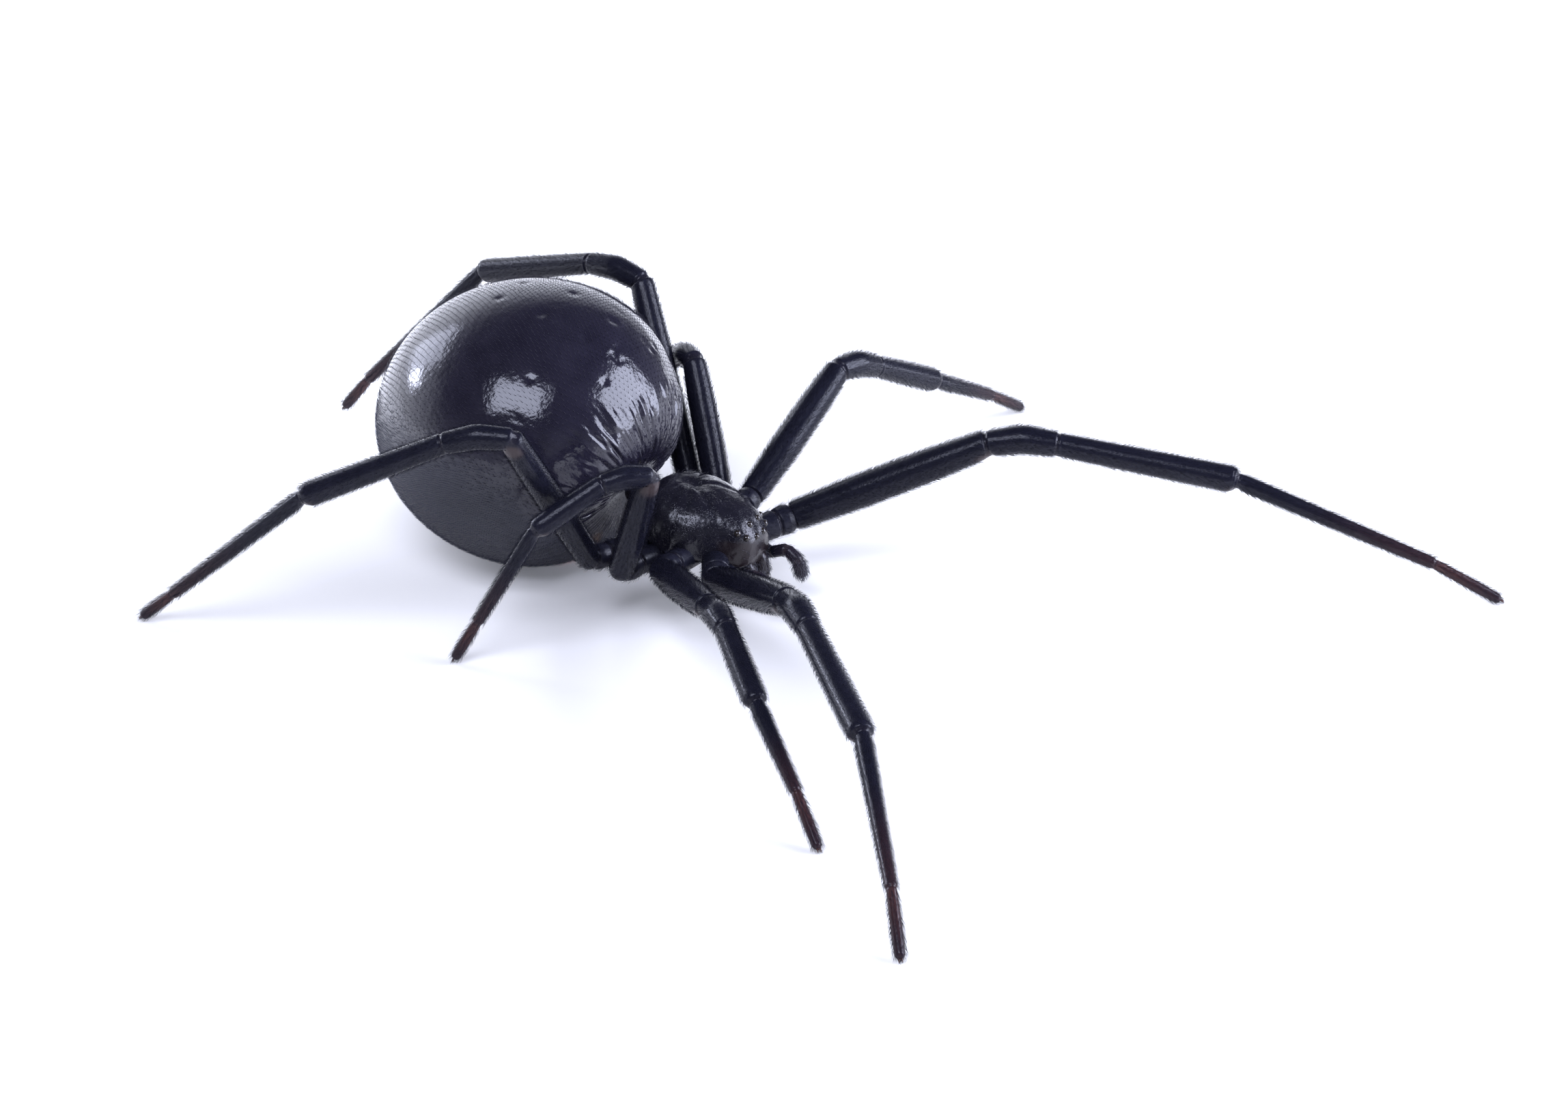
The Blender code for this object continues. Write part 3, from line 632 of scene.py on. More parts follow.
class Look:
    """Principled material, with short ways to the nodes that feed it."""

    def __init__(self, name, colour, roughness, gloss=0.5):
        made = bpy.data.materials.new(name)
        MADE[name] = made
        made.use_nodes = True
        self.tree = made.node_tree
        self.shader = self.tree.nodes["Principled BSDF"]
        self.set({"Base Color": colour, "Roughness": roughness, "Specular IOR Level": gloss})
        place = add_node(self.tree, "TexCoord").outputs["Object"]
        in_millimetres = add_node(self.tree, "Mapping", {"Vector": place, "Scale": (1 / MM, 1 / MM, 1 / MM)})
        self.place = in_millimetres.outputs["Vector"]

    def set(self, inputs):
        """Set inputs of the shader."""
        feed(self.tree, self.shader, inputs)

    def noise(self, scale, detail=2.0, spread=None, to=(0.0, 1.0)):
        """Clouds; a spread is the part of them that is brought to two values."""
        node = add_node(self.tree, "TexNoise", {"Vector": self.place, "Scale": scale, "Detail": detail})
        clouds = node.outputs["Fac"]
        return map_range(self.tree, clouds, *spread, *to) if spread else clouds

    def mark(self, name, to=(0.0, 1.0)):
        """Mark of the surface, brought to two values."""
        node = add_node(self.tree, "Attribute")
        node.attribute_name = name
        return map_range(self.tree, node.outputs["Fac"], 0.0, 1.0, *to)

    def mix(self, factor, first, second):
        """Colour between two."""
        return mix_node(self.tree, factor, first, second)

    def product(self, first, *others):
        """Product of numbers."""
        for other in others:
            first = math_node(self.tree, "MULTIPLY", first, other)
        return first

    def bump(self, height, depth, below=None):
        """Bump of a depth in millimetres from a height between 0 and 1, over another one."""
        inputs = {"Height": height, "Strength": 1.0, "Distance": depth * MM}
        if below is not None:
            inputs["Normal"] = below
        normal = add_node(self.tree, "Bump", inputs).outputs["Normal"]
        self.set({"Normal": normal})
        return normal


def dark_cuticle():
    """Glossy black of the head and chest, with fine grains in patches and smoother cheeks."""
    look = Look("dark_cuticle", *PLAIN_CUTICLE)
    black = look.mix(look.noise(2.0, 3.0, CLOUD), *CUTICLE_BLACK)
    grains = add_node(look.tree, "TexVoronoi", {"Vector": look.place, "Scale": 21.0})
    bumps = map_range(look.tree, grains.outputs["Distance"], 0.0, 0.40, 1.0, 0.0)
    patches = look.noise(1.6, 2.0, (0.35, 0.60), (0.25, 1.0))
    grained = look.product(bumps, patches, look.mark("cheek", (1.0, 0.15)))
    shade = look.noise(2.2, 3.0, (0.35, 0.7), (0.14, 0.26))
    look.set({
        "Base Color": look.mix(look.mark("cheek"), black, CHEEK_BROWN),
        "Roughness": look.product(shade, look.mark("cheek", (1.0, 1.4))),
    })
    look.bump(look.noise(6.0, 3.0), 0.010, below=look.bump(grained, 0.0085))


def abdomen_skin():
    """Blue-black glossy skin, duller below, with the red mark and the paler lung covers."""
    look = Look("abdomen_skin", *PLAIN_SKIN)
    black = look.mix(look.noise(1.3, 3.0, CLOUD), *SKIN_BLACK)
    velvet = look.mix(look.mark("belly"), black, BELLY_GREY)
    lungs = look.mix(look.mark("lungs"), velvet, LUNG_BROWN)
    red = look.mix(look.noise(3.0), *MARK_RED)
    edge = map_range(look.tree, look.mark("hourglass"), 0.42, 0.58)
    look.set({
        "Base Color": look.mix(edge, lungs, red),
        "Roughness": look.mark("belly", (0.13, 0.50)),
    })
    look.bump(look.noise(3.2, 2.0), 0.012, below=look.bump(look.noise(9.0, 3.0), 0.006))


def leg_skin():
    """Black leg, brown under the joints, reddish brown towards the tip and duller at the hip."""
    look = Look("leg_skin", *PLAIN_LEG)
    black = look.mix(look.noise(2.0, 3.0, CLOUD), *LEG_BLACK)
    toe = look.mix(look.mark("toe"), black, TOE_BROWN)
    smooth = look.noise(5.0, 2.0, (0.3, 0.7), (0.17, 0.27))
    look.set({
        "Base Color": look.mix(look.mark("membrane"), toe, MEMBRANE_BROWN),
        "Roughness": look.product(smooth, look.mark("neck", (1.0, 0.70)), look.mark("hip", (1.0, 1.5))),
    })
    look.bump(look.noise(14.0, 2.0), 0.006)


def plain_shine(name, colour, roughness, coat):
    """Smooth material with a faint cloud in its colour."""
    look = Look(name, colour, roughness)
    lighter = tuple(min(1.0, part * 1.6 + 0.002) for part in colour)
    look.set({"Base Color": look.mix(look.noise(8.0), colour, lighter), "Coat Weight": coat})


def hair_material(name, colour, roughness, gloss):
    """Fine hair, a little lighter in places."""
    look = Look(name, colour, roughness, gloss)
    lighter = tuple(part * 1.9 for part in colour)
    look.set({"Base Color": look.mix(look.noise(4.0), colour, lighter)})


def settle(piece, nodes=()):
    """Make a piece ride on the frame and stand for its solids."""
    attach(piece, "root")
    if nodes:
        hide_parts(*nodes)
    return piece


def coat(name, kind, surface, places, share=0.0, seed=SEED):
    """Tapered hairs at places on a surface, lying along it towards its end; a share of 1 has all that
    the kind adds to length and lift."""
    slot, hair, length, longer, lift, lifted, girth, bend, sway, middle_girth = COATS[kind]
    ring, turn = places
    rng = np.random.default_rng(seed)
    root = surface.at(surface.points, ring, turn)
    normal = unit(surface.at(surface.normals, ring, turn))
    flow = surface.at(surface.along, ring, turn)
    flow = unit(flow - normal * np.sum(flow * normal, axis=1, keepdims=True))
    across = np.cross(normal, flow)
    count = len(root)
    flow = unit(flow + across * (rng.normal(0, 1, count) * sway)[:, None])
    rise = ((radians(lift) + radians(lifted) * share) * rng.uniform(*LIFT_SPREAD, count))[:, None]
    size = ((length + longer * share) * rng.uniform(*LENGTH_SPREAD, count))[:, None]
    first = flow * np.cos(rise) + normal * np.sin(rise)
    second = unit(first * (1 - bend) + flow * bend)
    middle = root + first * size / 2
    tip = middle + second * size / 2
    root = root - normal * girth * HAIR_SUNK
    side = unit(np.cross(first, normal))
    upper = np.cross(side, first)
    corners = [
        centre + (side * cos(angle) + upper * sin(angle)) * girth * width
        for centre, width in ((root, 1.0), (middle, middle_girth)) for angle in HAIR_TURNS
    ]
    points = np.stack(corners + [tip], axis=1)
    points[..., 2] = np.maximum(points[..., 2], HAIR_LOWEST)
    faces = (HAIR_FACES[None] + np.arange(count)[:, None, None] * HAIR_POINTS).reshape(-1, 3)

    rings, sides = surface.points.shape[:2]
    shares = np.stack([ring / (rings - 1), turn % sides / sides], axis=1)
    place = UNWRAP_EDGE + (1 - 2 * UNWRAP_EDGE) * shares
    patch = [(cos(angle) * width, sin(angle) * width) for width in HAIR_PATCH for angle in HAIR_TURNS]
    flat = (place[:, None] + np.array(patch + [(0.0, 0.0)])).reshape(-1, 2)

    data = bpy.data.meshes.new(name)
    data.vertices.add(count * HAIR_POINTS)
    data.vertices.foreach_set("co", (points * MM).astype(np.float32).ravel())
    data.loops.add(faces.size)
    data.loops.foreach_set("vertex_index", faces.astype(np.int32).ravel())
    data.polygons.add(len(faces))
    data.polygons.foreach_set("loop_start", np.arange(0, faces.size, 3, dtype=np.int32))
    data.update(calc_edges=True)
    layer = data.uv_layers.new(name="OFBake")
    layer.data.foreach_set("uv", flat[faces.ravel()].astype(np.float32).ravel())
    data.materials.append(MADE[hair])
    data.shade_smooth()
    settle(add_object(name, data))


def scatter(surface, density, seed):
    """Even random places on a surface for hairs, with a density for each square millimetre."""
    rng = np.random.default_rng(seed)
    wanted = surface.areas() * np.broadcast_to(density, surface.points.shape[:2])[:-1]
    total = np.cumsum(wanted.ravel()) + rng.uniform()
    counts = np.diff(np.floor(np.concatenate(([0.0], total)))).astype(int)
    cells = np.repeat(np.arange(len(counts)), counts)
    sides = wanted.shape[1]
    ring = cells // sides + rng.uniform(0, 1, len(cells))
    turn = cells % sides + rng.uniform(0, 1, len(cells))
    return ring, turn


def abdomen_middle():
    """Middle of the abdomen."""
    x = ABDOMEN_BACK * sin(ABDOMEN_SWING)
    y = ABDOMEN_BACK * cos(ABDOMEN_SWING)
    return np.array([x, y, ABDOMEN_BELOW - ABDOMEN_FLAT_DEPTH]) + OFFSET


def abdomen_axes():
    """Directions ahead, left and up of the abdomen."""
    ahead = np.array([-sin(ABDOMEN_SWING), -cos(ABDOMEN_SWING), 0.0])
    left = np.array([cos(ABDOMEN_SWING), -sin(ABDOMEN_SWING), 0.0])
    return ahead, left, np.array([0.0, 0.0, 1.0])


def waist_way():
    """Direction from the abdomen's middle to the waist."""
    return unit(body_point(*WAIST_MOUTH) - abdomen_middle())


def flank_way(parts, side):
    """Direction from the abdomen's middle, given ahead, outward and up."""
    ahead, left, above = abdomen_axes()
    return unit(ahead * parts[0] + left * side * parts[1] + above * parts[2])


def abdomen_reach(ways):
    """Distance from the middle to the skin in each direction."""
    ahead, left, above = abdomen_axes()
    along = ways @ ahead
    outward = ways @ left
    up = ways @ above
    length = np.where(along > 0, ABDOMEN_FRONT, ABDOMEN_REAR)
    height = np.where(up > 0, ABDOMEN_TOP, ABDOMEN_BELOW)
    reach = 1 / np.sqrt((along / length) ** 2 + (outward / ABDOMEN_HALF_WIDTH) ** 2 + (up / height) ** 2)
    hollows = [(waist_way(), *WAIST_DIMPLE), (flank_way(THIGH_WAY, LEFT), *THIGH_HOLLOW)]
    hollows += [(flank_way(HIP_WAY, side), *HIP_HOLLOW) for side in (LEFT, RIGHT)]
    for toward, depth, spread in hollows:
        reach = reach * (1 - depth * np.exp(-(angles(ways, toward) / spread) ** 2))
    return reach - ABDOMEN_COAT_DEPTH


def abdomen_relief(ways, polar, turn):
    """Wrinkles that run to the waist, pits of the back and soft dents, in millimetres."""
    size = ABDOMEN_HALF_WIDTH
    band = step_between(*WRINKLE_START, polar) * (1 - step_between(*WRINKLE_END, polar))
    band = band * (1 - WRINKLE_MIDDLE_LOSS * step_between(*WRINKLE_MIDDLE, polar))
    band = band * (1 - WRINKLE_TOP_LOSS * step_between(*WRINKLE_TOP, ways[..., 2]))
    waver = soft_noise(ways * size, "waver")
    streaks = np.stack([
        np.cos(turn) * WRINKLE_COUNT / (2 * pi) + waver,
        np.sin(turn) * WRINKLE_COUNT / (2 * pi) + 0.6 * waver,
        polar * size / WRINKLE_LENGTH,
    ], axis=-1)
    whole = step_between(*WRINKLE_BREAKS, soft_noise(ways * size, "breaks"))
    relief = soft_noise(streaks, "ridges") * band * (1 - WRINKLE_BREAK_LOSS * (1 - whole))
    dents = np.clip(soft_noise(ways * MEAN_RADIUS, "dents") - DENT_RARITY, 0, 1)
    patch = step_between(*DENT_START, polar) * (1 - step_between(*DENT_END, polar))
    relief = relief - DENT_DEPTH * dents * patch
    for *way, reach, depth in PITS:
        for side in (LEFT, RIGHT):
            apart = angles(ways, flank_way(way, side)) * MEAN_RADIUS
            relief = relief - depth * np.exp(-(apart / reach) ** 2)
    return relief


def abdomen_surface():
    """Surface of the abdomen with its rings round the line from the waist to the rear."""
    waist = waist_way()
    ahead, left, above = abdomen_axes()
    upright = unit(above - waist * (above @ waist))
    sideways = np.cross(waist, upright)
    polar = (np.linspace(0, 1, ABDOMEN_RINGS + 1)[1:-1] ** RING_SPREAD * pi)[:, None]
    turn = np.linspace(0, 2 * pi, ABDOMEN_SIDES, endpoint=False)[None, :]
    polar, turn = np.broadcast_arrays(polar, turn)
    ways = (
        np.cos(polar)[..., None] * waist
        + (np.sin(polar) * np.cos(turn))[..., None] * upright
        + (np.sin(polar) * np.sin(turn))[..., None] * sideways
    )
    middle = abdomen_middle()
    points = middle + ways * (abdomen_reach(ways) + abdomen_relief(ways, polar, turn))[..., None]
    points[..., 2] = rest_on_floor(points[..., 2])
    tips = [middle + way * abdomen_reach(way[None])[0] for way in (waist, -waist)]
    surface = Surface(points, *tips)
    surface.polar = polar
    # The velvet and its grey stop towards the waist, so the skin there stays black: painted shade for the
    # dark area between the hind legs, the waist and the belly
    front, slope = VELVET_END_AS_WAIST_SHADE
    forward = np.clip(ways @ ahead, 0, 1)
    surface.low = ways @ above + VELVET_RISE * forward + slope * np.clip(forward - front, 0, 1)
    velvet = 1 - step_between(*VELVET_EDGE, surface.low)
    surface.paint(belly=velvet, hourglass=hourglass(ways), lungs=lung_covers(ways))
    return surface


def rest_on_floor(height):
    """Heights pressed flat just above the floor."""
    return REST_HEIGHT + REST_SOFTNESS * np.logaddexp(0, (height - REST_HEIGHT) / REST_SOFTNESS)


def hourglass(ways):
    """1 inside the red mark of the underside, 0 outside, soft at its edge."""
    ahead, left, above = abdomen_axes()
    centre = unit(ahead * HOURGLASS_AHEAD - above)
    along = np.abs((ways - centre) @ ahead) * ABDOMEN_BELOW
    outward = np.abs(ways @ left) * ABDOMEN_BELOW
    wider, flare_reach, curve = HOURGLASS_FLARE
    width = HOURGLASS_HALF_WIDTH + wider * (along / flare_reach) ** curve
    inside = (width - outward) / HOURGLASS_SOFT + 0.5
    ends = (HOURGLASS_HALF_LENGTH - 0.10 * outward - along) / HOURGLASS_SOFT + 0.5
    return np.clip(np.minimum(inside, ends), 0, 1) * (ways @ above < 0)


def lung_covers(ways):
    """Paler ovals on both sides of the underside near the waist."""
    ahead, left, above = abdomen_axes()
    half_width, half_length = LUNG_SIZE
    mask = 0.0
    for side in (LEFT, RIGHT):
        offset = ways - flank_way(LUNG_WAY, side)
        apart = np.hypot(offset @ left / half_width, np.hypot(offset @ ahead, offset @ above) / half_length)
        mask = np.maximum(mask, 1 - step_between(*LUNG_EDGE, apart))
    return mask


def make_abdomen():
    """Abdomen with its coat: single hairs in slanting rows above, velvet below."""
    surface = abdomen_surface()
    surface.piece("abdomen_skin", "abdomen_skin", "abdomen", ["abdomen"])
    rng = np.random.default_rng(SEED)
    ring, turn = hair_rows(surface, HAIR_SPACING)
    low = surface.number_at(surface.low, ring, turn)
    single = rng.uniform(*VELVET_EDGE, len(low)) < low
    places = ring[single], turn[single]
    share = step_between(*HAIRS_LENGTHEN, surface.number_at(surface.polar, *places))
    coat("coat_abdomen_upper", "abdomen_upper", surface, places, share)
    ring, turn = hair_rows(surface, VELVET_SPACING)
    low = surface.number_at(surface.low, ring, turn)
    soft = rng.uniform(*VELVET_EDGE, len(low)) > low
    left_half = turn % ABDOMEN_SIDES < ABDOMEN_SIDES / 2
    for name, half in (("left", left_half), ("right", ~left_half)):
        places = ring[soft & half], turn[soft & half]
        coat("coat_abdomen_belly_" + name, "abdomen_belly", surface, places, seed=SEED + 1)


def hair_rows(surface, spacing):
    """Places in even rows round the abdomen, each row shifted by half a step."""
    rng = np.random.default_rng(SEED)
    points = surface.points
    rings, sides = points.shape[:2]
    start, end = HAIR_ROWS
    lengths = np.linalg.norm(np.diff(points, axis=0), axis=-1).mean(axis=1)
    marks = np.concatenate(([0.0], np.cumsum(lengths)))
    rows = np.interp(np.arange(start, marks[-1] - end, spacing * ROW_SHARE), marks, np.arange(rings))
    girths = np.linalg.norm(points - np.roll(points, 1, axis=1), axis=-1).sum(axis=1)
    ring_list = []
    turn_list = []
    for k, ring in enumerate(rows):
        count = int(np.interp(ring, np.arange(rings), girths) / spacing)
        turns = (np.arange(count) + 0.5 * (k % 2)) / count * sides
        turn_list.append(turns + rng.normal(0, ROW_JITTER[0], count) * sides / count)
        ring_list.append(ring + rng.normal(0, ROW_JITTER[1], count))
    return np.clip(np.concatenate(ring_list), 0, rings - 1.001), np.concatenate(turn_list)


def carapace_sizes(forward):
    """Half width, top, edge, bottom and boxiness at places along the head and chest piece."""
    table = np.array(CARAPACE_STATIONS)
    fine = between(np.linspace(0, len(table) - 1, 400), np.arange(len(table)), table)
    for _ in range(500):
        fine[1:-1] = (fine[:-2] + 2 * fine[1:-1] + fine[2:]) / 4
    return between(forward, fine[:, 0], fine[:, 1:]).T[..., None]


def groove_depth(forward, outward):
    """Depth of the carapace's grooves at places on it."""
    depth = np.zeros(np.broadcast(forward, outward).shape)
    aside = np.abs(outward)
    for start, end, width, deep in GROOVES:
        start = np.array(start)
        way = np.array(end) - start
        share = ((forward - start[0]) * way[0] + (aside - start[1]) * way[1]) / (way @ way)
        share = np.clip(share, 0, 1)
        gap = np.hypot(forward - start[0] - share * way[0], aside - start[1] - share * way[1])
        depth = np.maximum(depth, deep * (1 - 0.5 * share) * np.exp(-(gap / width) ** 2))
    return depth


def carapace_surface():
    """Surface of the head and chest piece from the waist to the front."""
    share = (1 - np.cos(np.linspace(0, pi, CARAPACE_RINGS))) / 2
    first = CARAPACE_STATIONS[0][0]
    last = CARAPACE_STATIONS[-1][0]
    forward = (first + (last - first) * share)[:, None]
    half_width, top, edge, bottom, boxy = carapace_sizes(forward[:, 0])
    turn = np.linspace(0, 2 * pi, CARAPACE_SIDES, endpoint=False)[None, :]
    lift = np.sin(turn)
    upper = lift >= 0
    aside = np.cos(turn)
    over_width = half_width * np.abs(aside) ** boxy * np.sign(aside)
    outward = np.where(upper, over_width, half_width * aside * (1 - UNDERSIDE_PINCH * np.abs(lift) ** 0.5))
    dip_forward, dip_length, dip_width, dip_depth = FOVEA
    dip = dip_depth * np.exp(-((forward - dip_forward) / dip_length) ** 2 - (outward / dip_width) ** 2)
    over = edge + (top - edge) * np.clip(lift, 0, 1) ** boxy - dip - groove_depth(forward, outward)
    under = edge + (bottom - edge) * np.abs(lift) ** 0.8
    up = np.where(upper, over, under)
    rim, rim_width = CARAPACE_RIM
    outward = outward + np.sign(aside) * rim * np.exp(-(np.arcsin(np.clip(lift, -1, 1)) / rim_width) ** 2)
    reach, height = EYE_MOUND
    for _, eye_forward, eye_outward, eye_up, _ in EYES:
        apart = (forward - eye_forward) ** 2 + (np.abs(outward) - eye_outward) ** 2 + (up - eye_up) ** 2
        swell = height * np.exp(-apart / reach ** 2)
        up = up + swell * EYE_SWELL[0] * upper
        outward = outward * (1 + swell * EYE_SWELL[1])
    points = body_point(forward, outward, up)
    uneven = soft_noise(points, "grain") + soft_noise(points, "swell")
    centre = points.mean(axis=1, keepdims=True)
    points = points + unit(points - centre) * (uneven * upper)[..., None]
    ends = [points[k].mean(axis=0) + (0, sign * 0.06, 0) for k, sign in ((0, 1), (-1, -1))]
    surface = Surface(points, *ends)
    surface.paint(cheek=step_between(*CHEEK_START, forward) * (1 - step_between(*CHEEK_TOP, up)))
    surface.up = up
    surface.forward = forward
    surface.lift = lift
    return surface


def make_cephalothorax():
    """Head and chest piece with its eight eyes and a few short hairs."""
    surface = carapace_surface()
    piece = surface.piece("cephalothorax_skin", "dark_cuticle", "cuticle", ["cephalothorax"])
    nearest = BVHTree.FromObject(piece, bpy.context.evaluated_depsgraph_get())
    for name, forward, outward, up, radius in EYES:
        for side in (LEFT, RIGHT):
            aim = Vector(body_point(forward, outward, up, side) * MM)
            place, normal, _, _ = nearest.find_nearest(aim)
            centre = np.array(place) / MM - np.array(normal) * radius * EYE_SUNK
            make_eye("eye_%s_%s" % (name, SIDES[side]), centre, radius)
    above, below_share, on_face = HEAD_HAIRS
    face = (surface.forward > FACE[0]) & (surface.up < FACE[1])
    density = above * np.where(surface.lift > 0, 1.0, below_share) + on_face * face
    places = scatter(surface, density, SEED + 2)
    coat("coat_cephalothorax", "cephalothorax", surface, places)


def make_eye(name, centre, radius):
    """Smooth round eye."""
    polar = np.linspace(0, pi, 26)[1:-1, None]
    turn = np.linspace(0, 2 * pi, 36, endpoint=False)[None, :]
    parts = (np.sin(polar) * np.cos(turn), np.sin(polar) * np.sin(turn), np.cos(polar))
    ball = np.stack(np.broadcast_arrays(*parts), axis=-1)
    pole = np.array([0, 0, radius])
    Surface(centre + ball * radius, centre + pole, centre - pole).piece(name, "eye_shine", "cuticle")


def make_waist():
    """Short waist between the head and chest piece and the abdomen."""
    ends = (body_point(*WAIST_START), abdomen_middle() + waist_way() * WAIST_REACH)
    surface = limb_surface(ends, WAIST_RADII, rounding=0.1)
    surface.paint(toe=0.0, membrane=0.25)
    surface.piece("waist_skin", "leg_skin", "cuticle", ["pedicel"])


def make_jaw(side):
    """One jaw with its fang and grey hairs."""
    name = SIDES[side]
    surface = limb_surface([body_point(*place, side) for place in JAW_PATH], JAW_RADII)
    surface.paint(cheek=0.8)
    surface.piece("chelicera_%s_skin" % name, "dark_cuticle", "mouthparts", ["chelicera_" + name])
    tooth = limb_surface([body_point(*place, side) for place in FANG_PATH], FANG_RADII, sides=16, step=0.02)
    tooth.piece("fang_" + name, "claw_brown", "mouthparts")
    places = scatter(surface, JAW_HAIRS, SEED + 3)
    coat("coat_chelicera_" + name, "chelicera", surface, places)


def make_palp(side):
    """One feeler with its lengths marked by necks, hairy at its end."""
    name = SIDES[side]
    corners = [body_point(*place, side) for place in PALP_PATH]
    knots = distances(corners)[1:]
    dips = [(knot + past, *PALP_NECK, longer) for knot, (past, longer) in zip(knots, PALP_NECKS)]
    surface = limb_surface(corners, PALP_RADII, step=0.025, dips=dips)
    share = np.linspace(0, 1, len(surface.points))[:, None] * np.ones(surface.points.shape[1])
    surface.paint(toe=0.14 * step_between(0.3, 0.6, share), membrane=surface.marks["neck"] * 0.5)
    surface.piece("pedipalp_%s_skin" % name, "leg_skin", "mouthparts", ["pedipalp_" + name])
    club = step_between(*PALP_CLUB, share)
    places = scatter(surface, PALP_HAIRS[0] + PALP_HAIRS[1] * club, SEED + 4)
    coat("coat_pedipalp_" + name, "pedipalp", surface, places, surface.number_at(club, *places))


def make_spinnerets():
    """Low mound and three pairs of cones at the lower rear of the abdomen."""
    ahead, left, above = abdomen_axes()
    way = unit(-ahead * cos(SPINNERET_PITCH) + above * sin(SPINNERET_PITCH))
    root = abdomen_middle() + way * abdomen_reach(way[None])[0]
    upward = unit(np.cross(left, way))
    upward = upward if upward[2] > 0 else -upward
    ends = (root - way * MOUND_REACH[0], root + way * MOUND_REACH[1])
    mound = flat_marks(limb_surface(ends, MOUND_RADII, sides=40, rounding=0.05))
    mound.piece("spinneret_mound", "leg_skin", "abdomen")
    neck_place, *neck = SPINNERET_NECK
    for number, (outward, up, length, radius) in enumerate(SPINNERETS):
        for side in (LEFT, RIGHT):
            name = "spinneret_%d_%s" % (number + 1, SIDES[side])
            start = root + left * outward * side + upward * up
            lean = unit(way - upward * up * SPINNERET_LEAN[0] - left * outward * side * SPINNERET_LEAN[1])
            ends = (start - lean * SPINNERET_ROOT, start + lean * length)
            dips = [(SPINNERET_ROOT + length * neck_place, *neck, 0.0)]
            cone = flat_marks(limb_surface(ends, (radius, radius * 0.7), dips=dips, rounding=0.05))
            cone.piece(name, "leg_skin", "abdomen")
            coat("coat_" + name, "spinneret", cone, scatter(cone, SPINNERET_HAIRS, SEED + 5))


def flat_marks(surface):
    """Give a small surface the marks that the leg's material reads."""
    surface.paint(toe=0.15, membrane=surface.marks["neck"] * 0.3)
    return surface


def leg_joints(side, pair):
    """The leg's joints: femur base, knee, patella end, tibia end, tarsus base and tip."""
    size, turns, rises = STANCES[(side, pair)]
    lengths = [length * size for length in SEGMENT_LENGTHS[pair]]
    joints = [body_point(*FEMUR_BASES[pair], side)]
    for length, turn, rise in zip(lengths, (turns[0], turns[1], turns[1], turns[2]), rises):
        joints.append(joints[-1] + length * heading(side, turn, rise))
    drop = (FOOT_HEIGHT - joints[-1][2]) / lengths[4]
    rise = degrees(asin(max(-1.0, min(1.0, drop))))
    joints.append(joints[-1] + lengths[4] * heading(side, turns[2], rise))
    return joints


def leg_surface(side, pair):
    """Skin of one leg from the hip to the tip, with a neck at each joint."""
    hip_width, base, middle, end, patella, shin, shin_end, meta, meta_end, tarsus, tip = SKIN_RADII[pair]
    corners = [body_point(*HIP_ROOTS[pair], side)] + leg_joints(side, pair)
    along = corners[3] - corners[2]
    arch = unit(np.cross(np.cross(along, (0, 0, 1.0)), along)) * PATELLA_ARCH * np.linalg.norm(along)
    corners.insert(3, (corners[2] + corners[3]) / 2 + arch)
    hip, knee, _, patella_end, ankle, tarsus_base, foot = distances(corners)[1:]
    places = {
        "trochanter": hip - 0.66,
        "femur": hip - 0.08,
        "patella": knee,
        "tibia": patella_end,
        "metatarsus": ankle,
        "tarsus": tarsus_base,
    }
    # Distance along the leg, and the skin's radius there
    outline = np.array((
        (0.0, hip_width), (hip - 0.70, hip_width * 1.08), (hip - 0.62, base * 0.96),
        (hip - 0.35, base * 1.02), (hip - 0.10, base * 0.93), (hip + 0.12, base * 0.97),
        (hip + 0.35 * (knee - hip), middle), (hip + 0.72 * (knee - hip), middle * 0.97), (knee - 0.12, end),
        (knee + 0.10, patella * 0.96), ((knee + patella_end) / 2, patella * 1.07),
        (patella_end - 0.10, patella * 0.93), (patella_end + 0.12, shin),
        (patella_end + 0.55 * (ankle - patella_end), shin * 1.10), (ankle - 0.20, shin_end),
        (ankle - 0.05, shin_end * 0.88), (ankle + 0.06, meta * 0.95), (ankle + 0.4, meta),
        (tarsus_base - 0.06, meta_end), (tarsus_base + 0.06, tarsus),
        ((tarsus_base + 2 * foot) / 3, tarsus * 1.12), (foot, tip),
    ))
    marks = fine_marks(foot, places.values())
    radii = np.interp(marks, *outline.T)
    smooth = np.convolve(np.pad(radii, 2, mode="edge"), np.ones(5) / 5, mode="valid")
    dips = [(places[joint], *LEG_JOINTS[joint]) for joint in places]
    surface = tube(corners, marks, rounded_end(marks, smooth, foot, tip), LEG_SIDES, dips=dips)
    surface.points[..., 2] = np.maximum(surface.points[..., 2], LEG_LOWEST)
    marks = marks[:, None]
    surface.length = marks
    surface.places = places
    membrane = 0.10 * surface.marks["neck"]
    for joint, (share, before, reach) in MEMBRANES.items():
        near = np.exp(-((marks - places[joint] + before) / reach) ** 4)
        membrane = np.maximum(membrane, share * near * step_between(0.10, 0.55, surface.marks["below"]))
    toe = 0.55 * step_between(ankle + 0.25 * (tarsus_base - ankle), tarsus_base, marks)
    toe += 0.45 * step_between(tarsus_base - 0.1, tarsus_base + 0.15, marks)
    toe -= 0.55 * step_between(tarsus_base + 0.5, foot - 0.2, marks)
    hips = 1 - step_between(places["femur"] - 0.05, places["femur"] + 0.10, marks)
    surface.paint(membrane=membrane, toe=toe, hip=hips)
    return surface


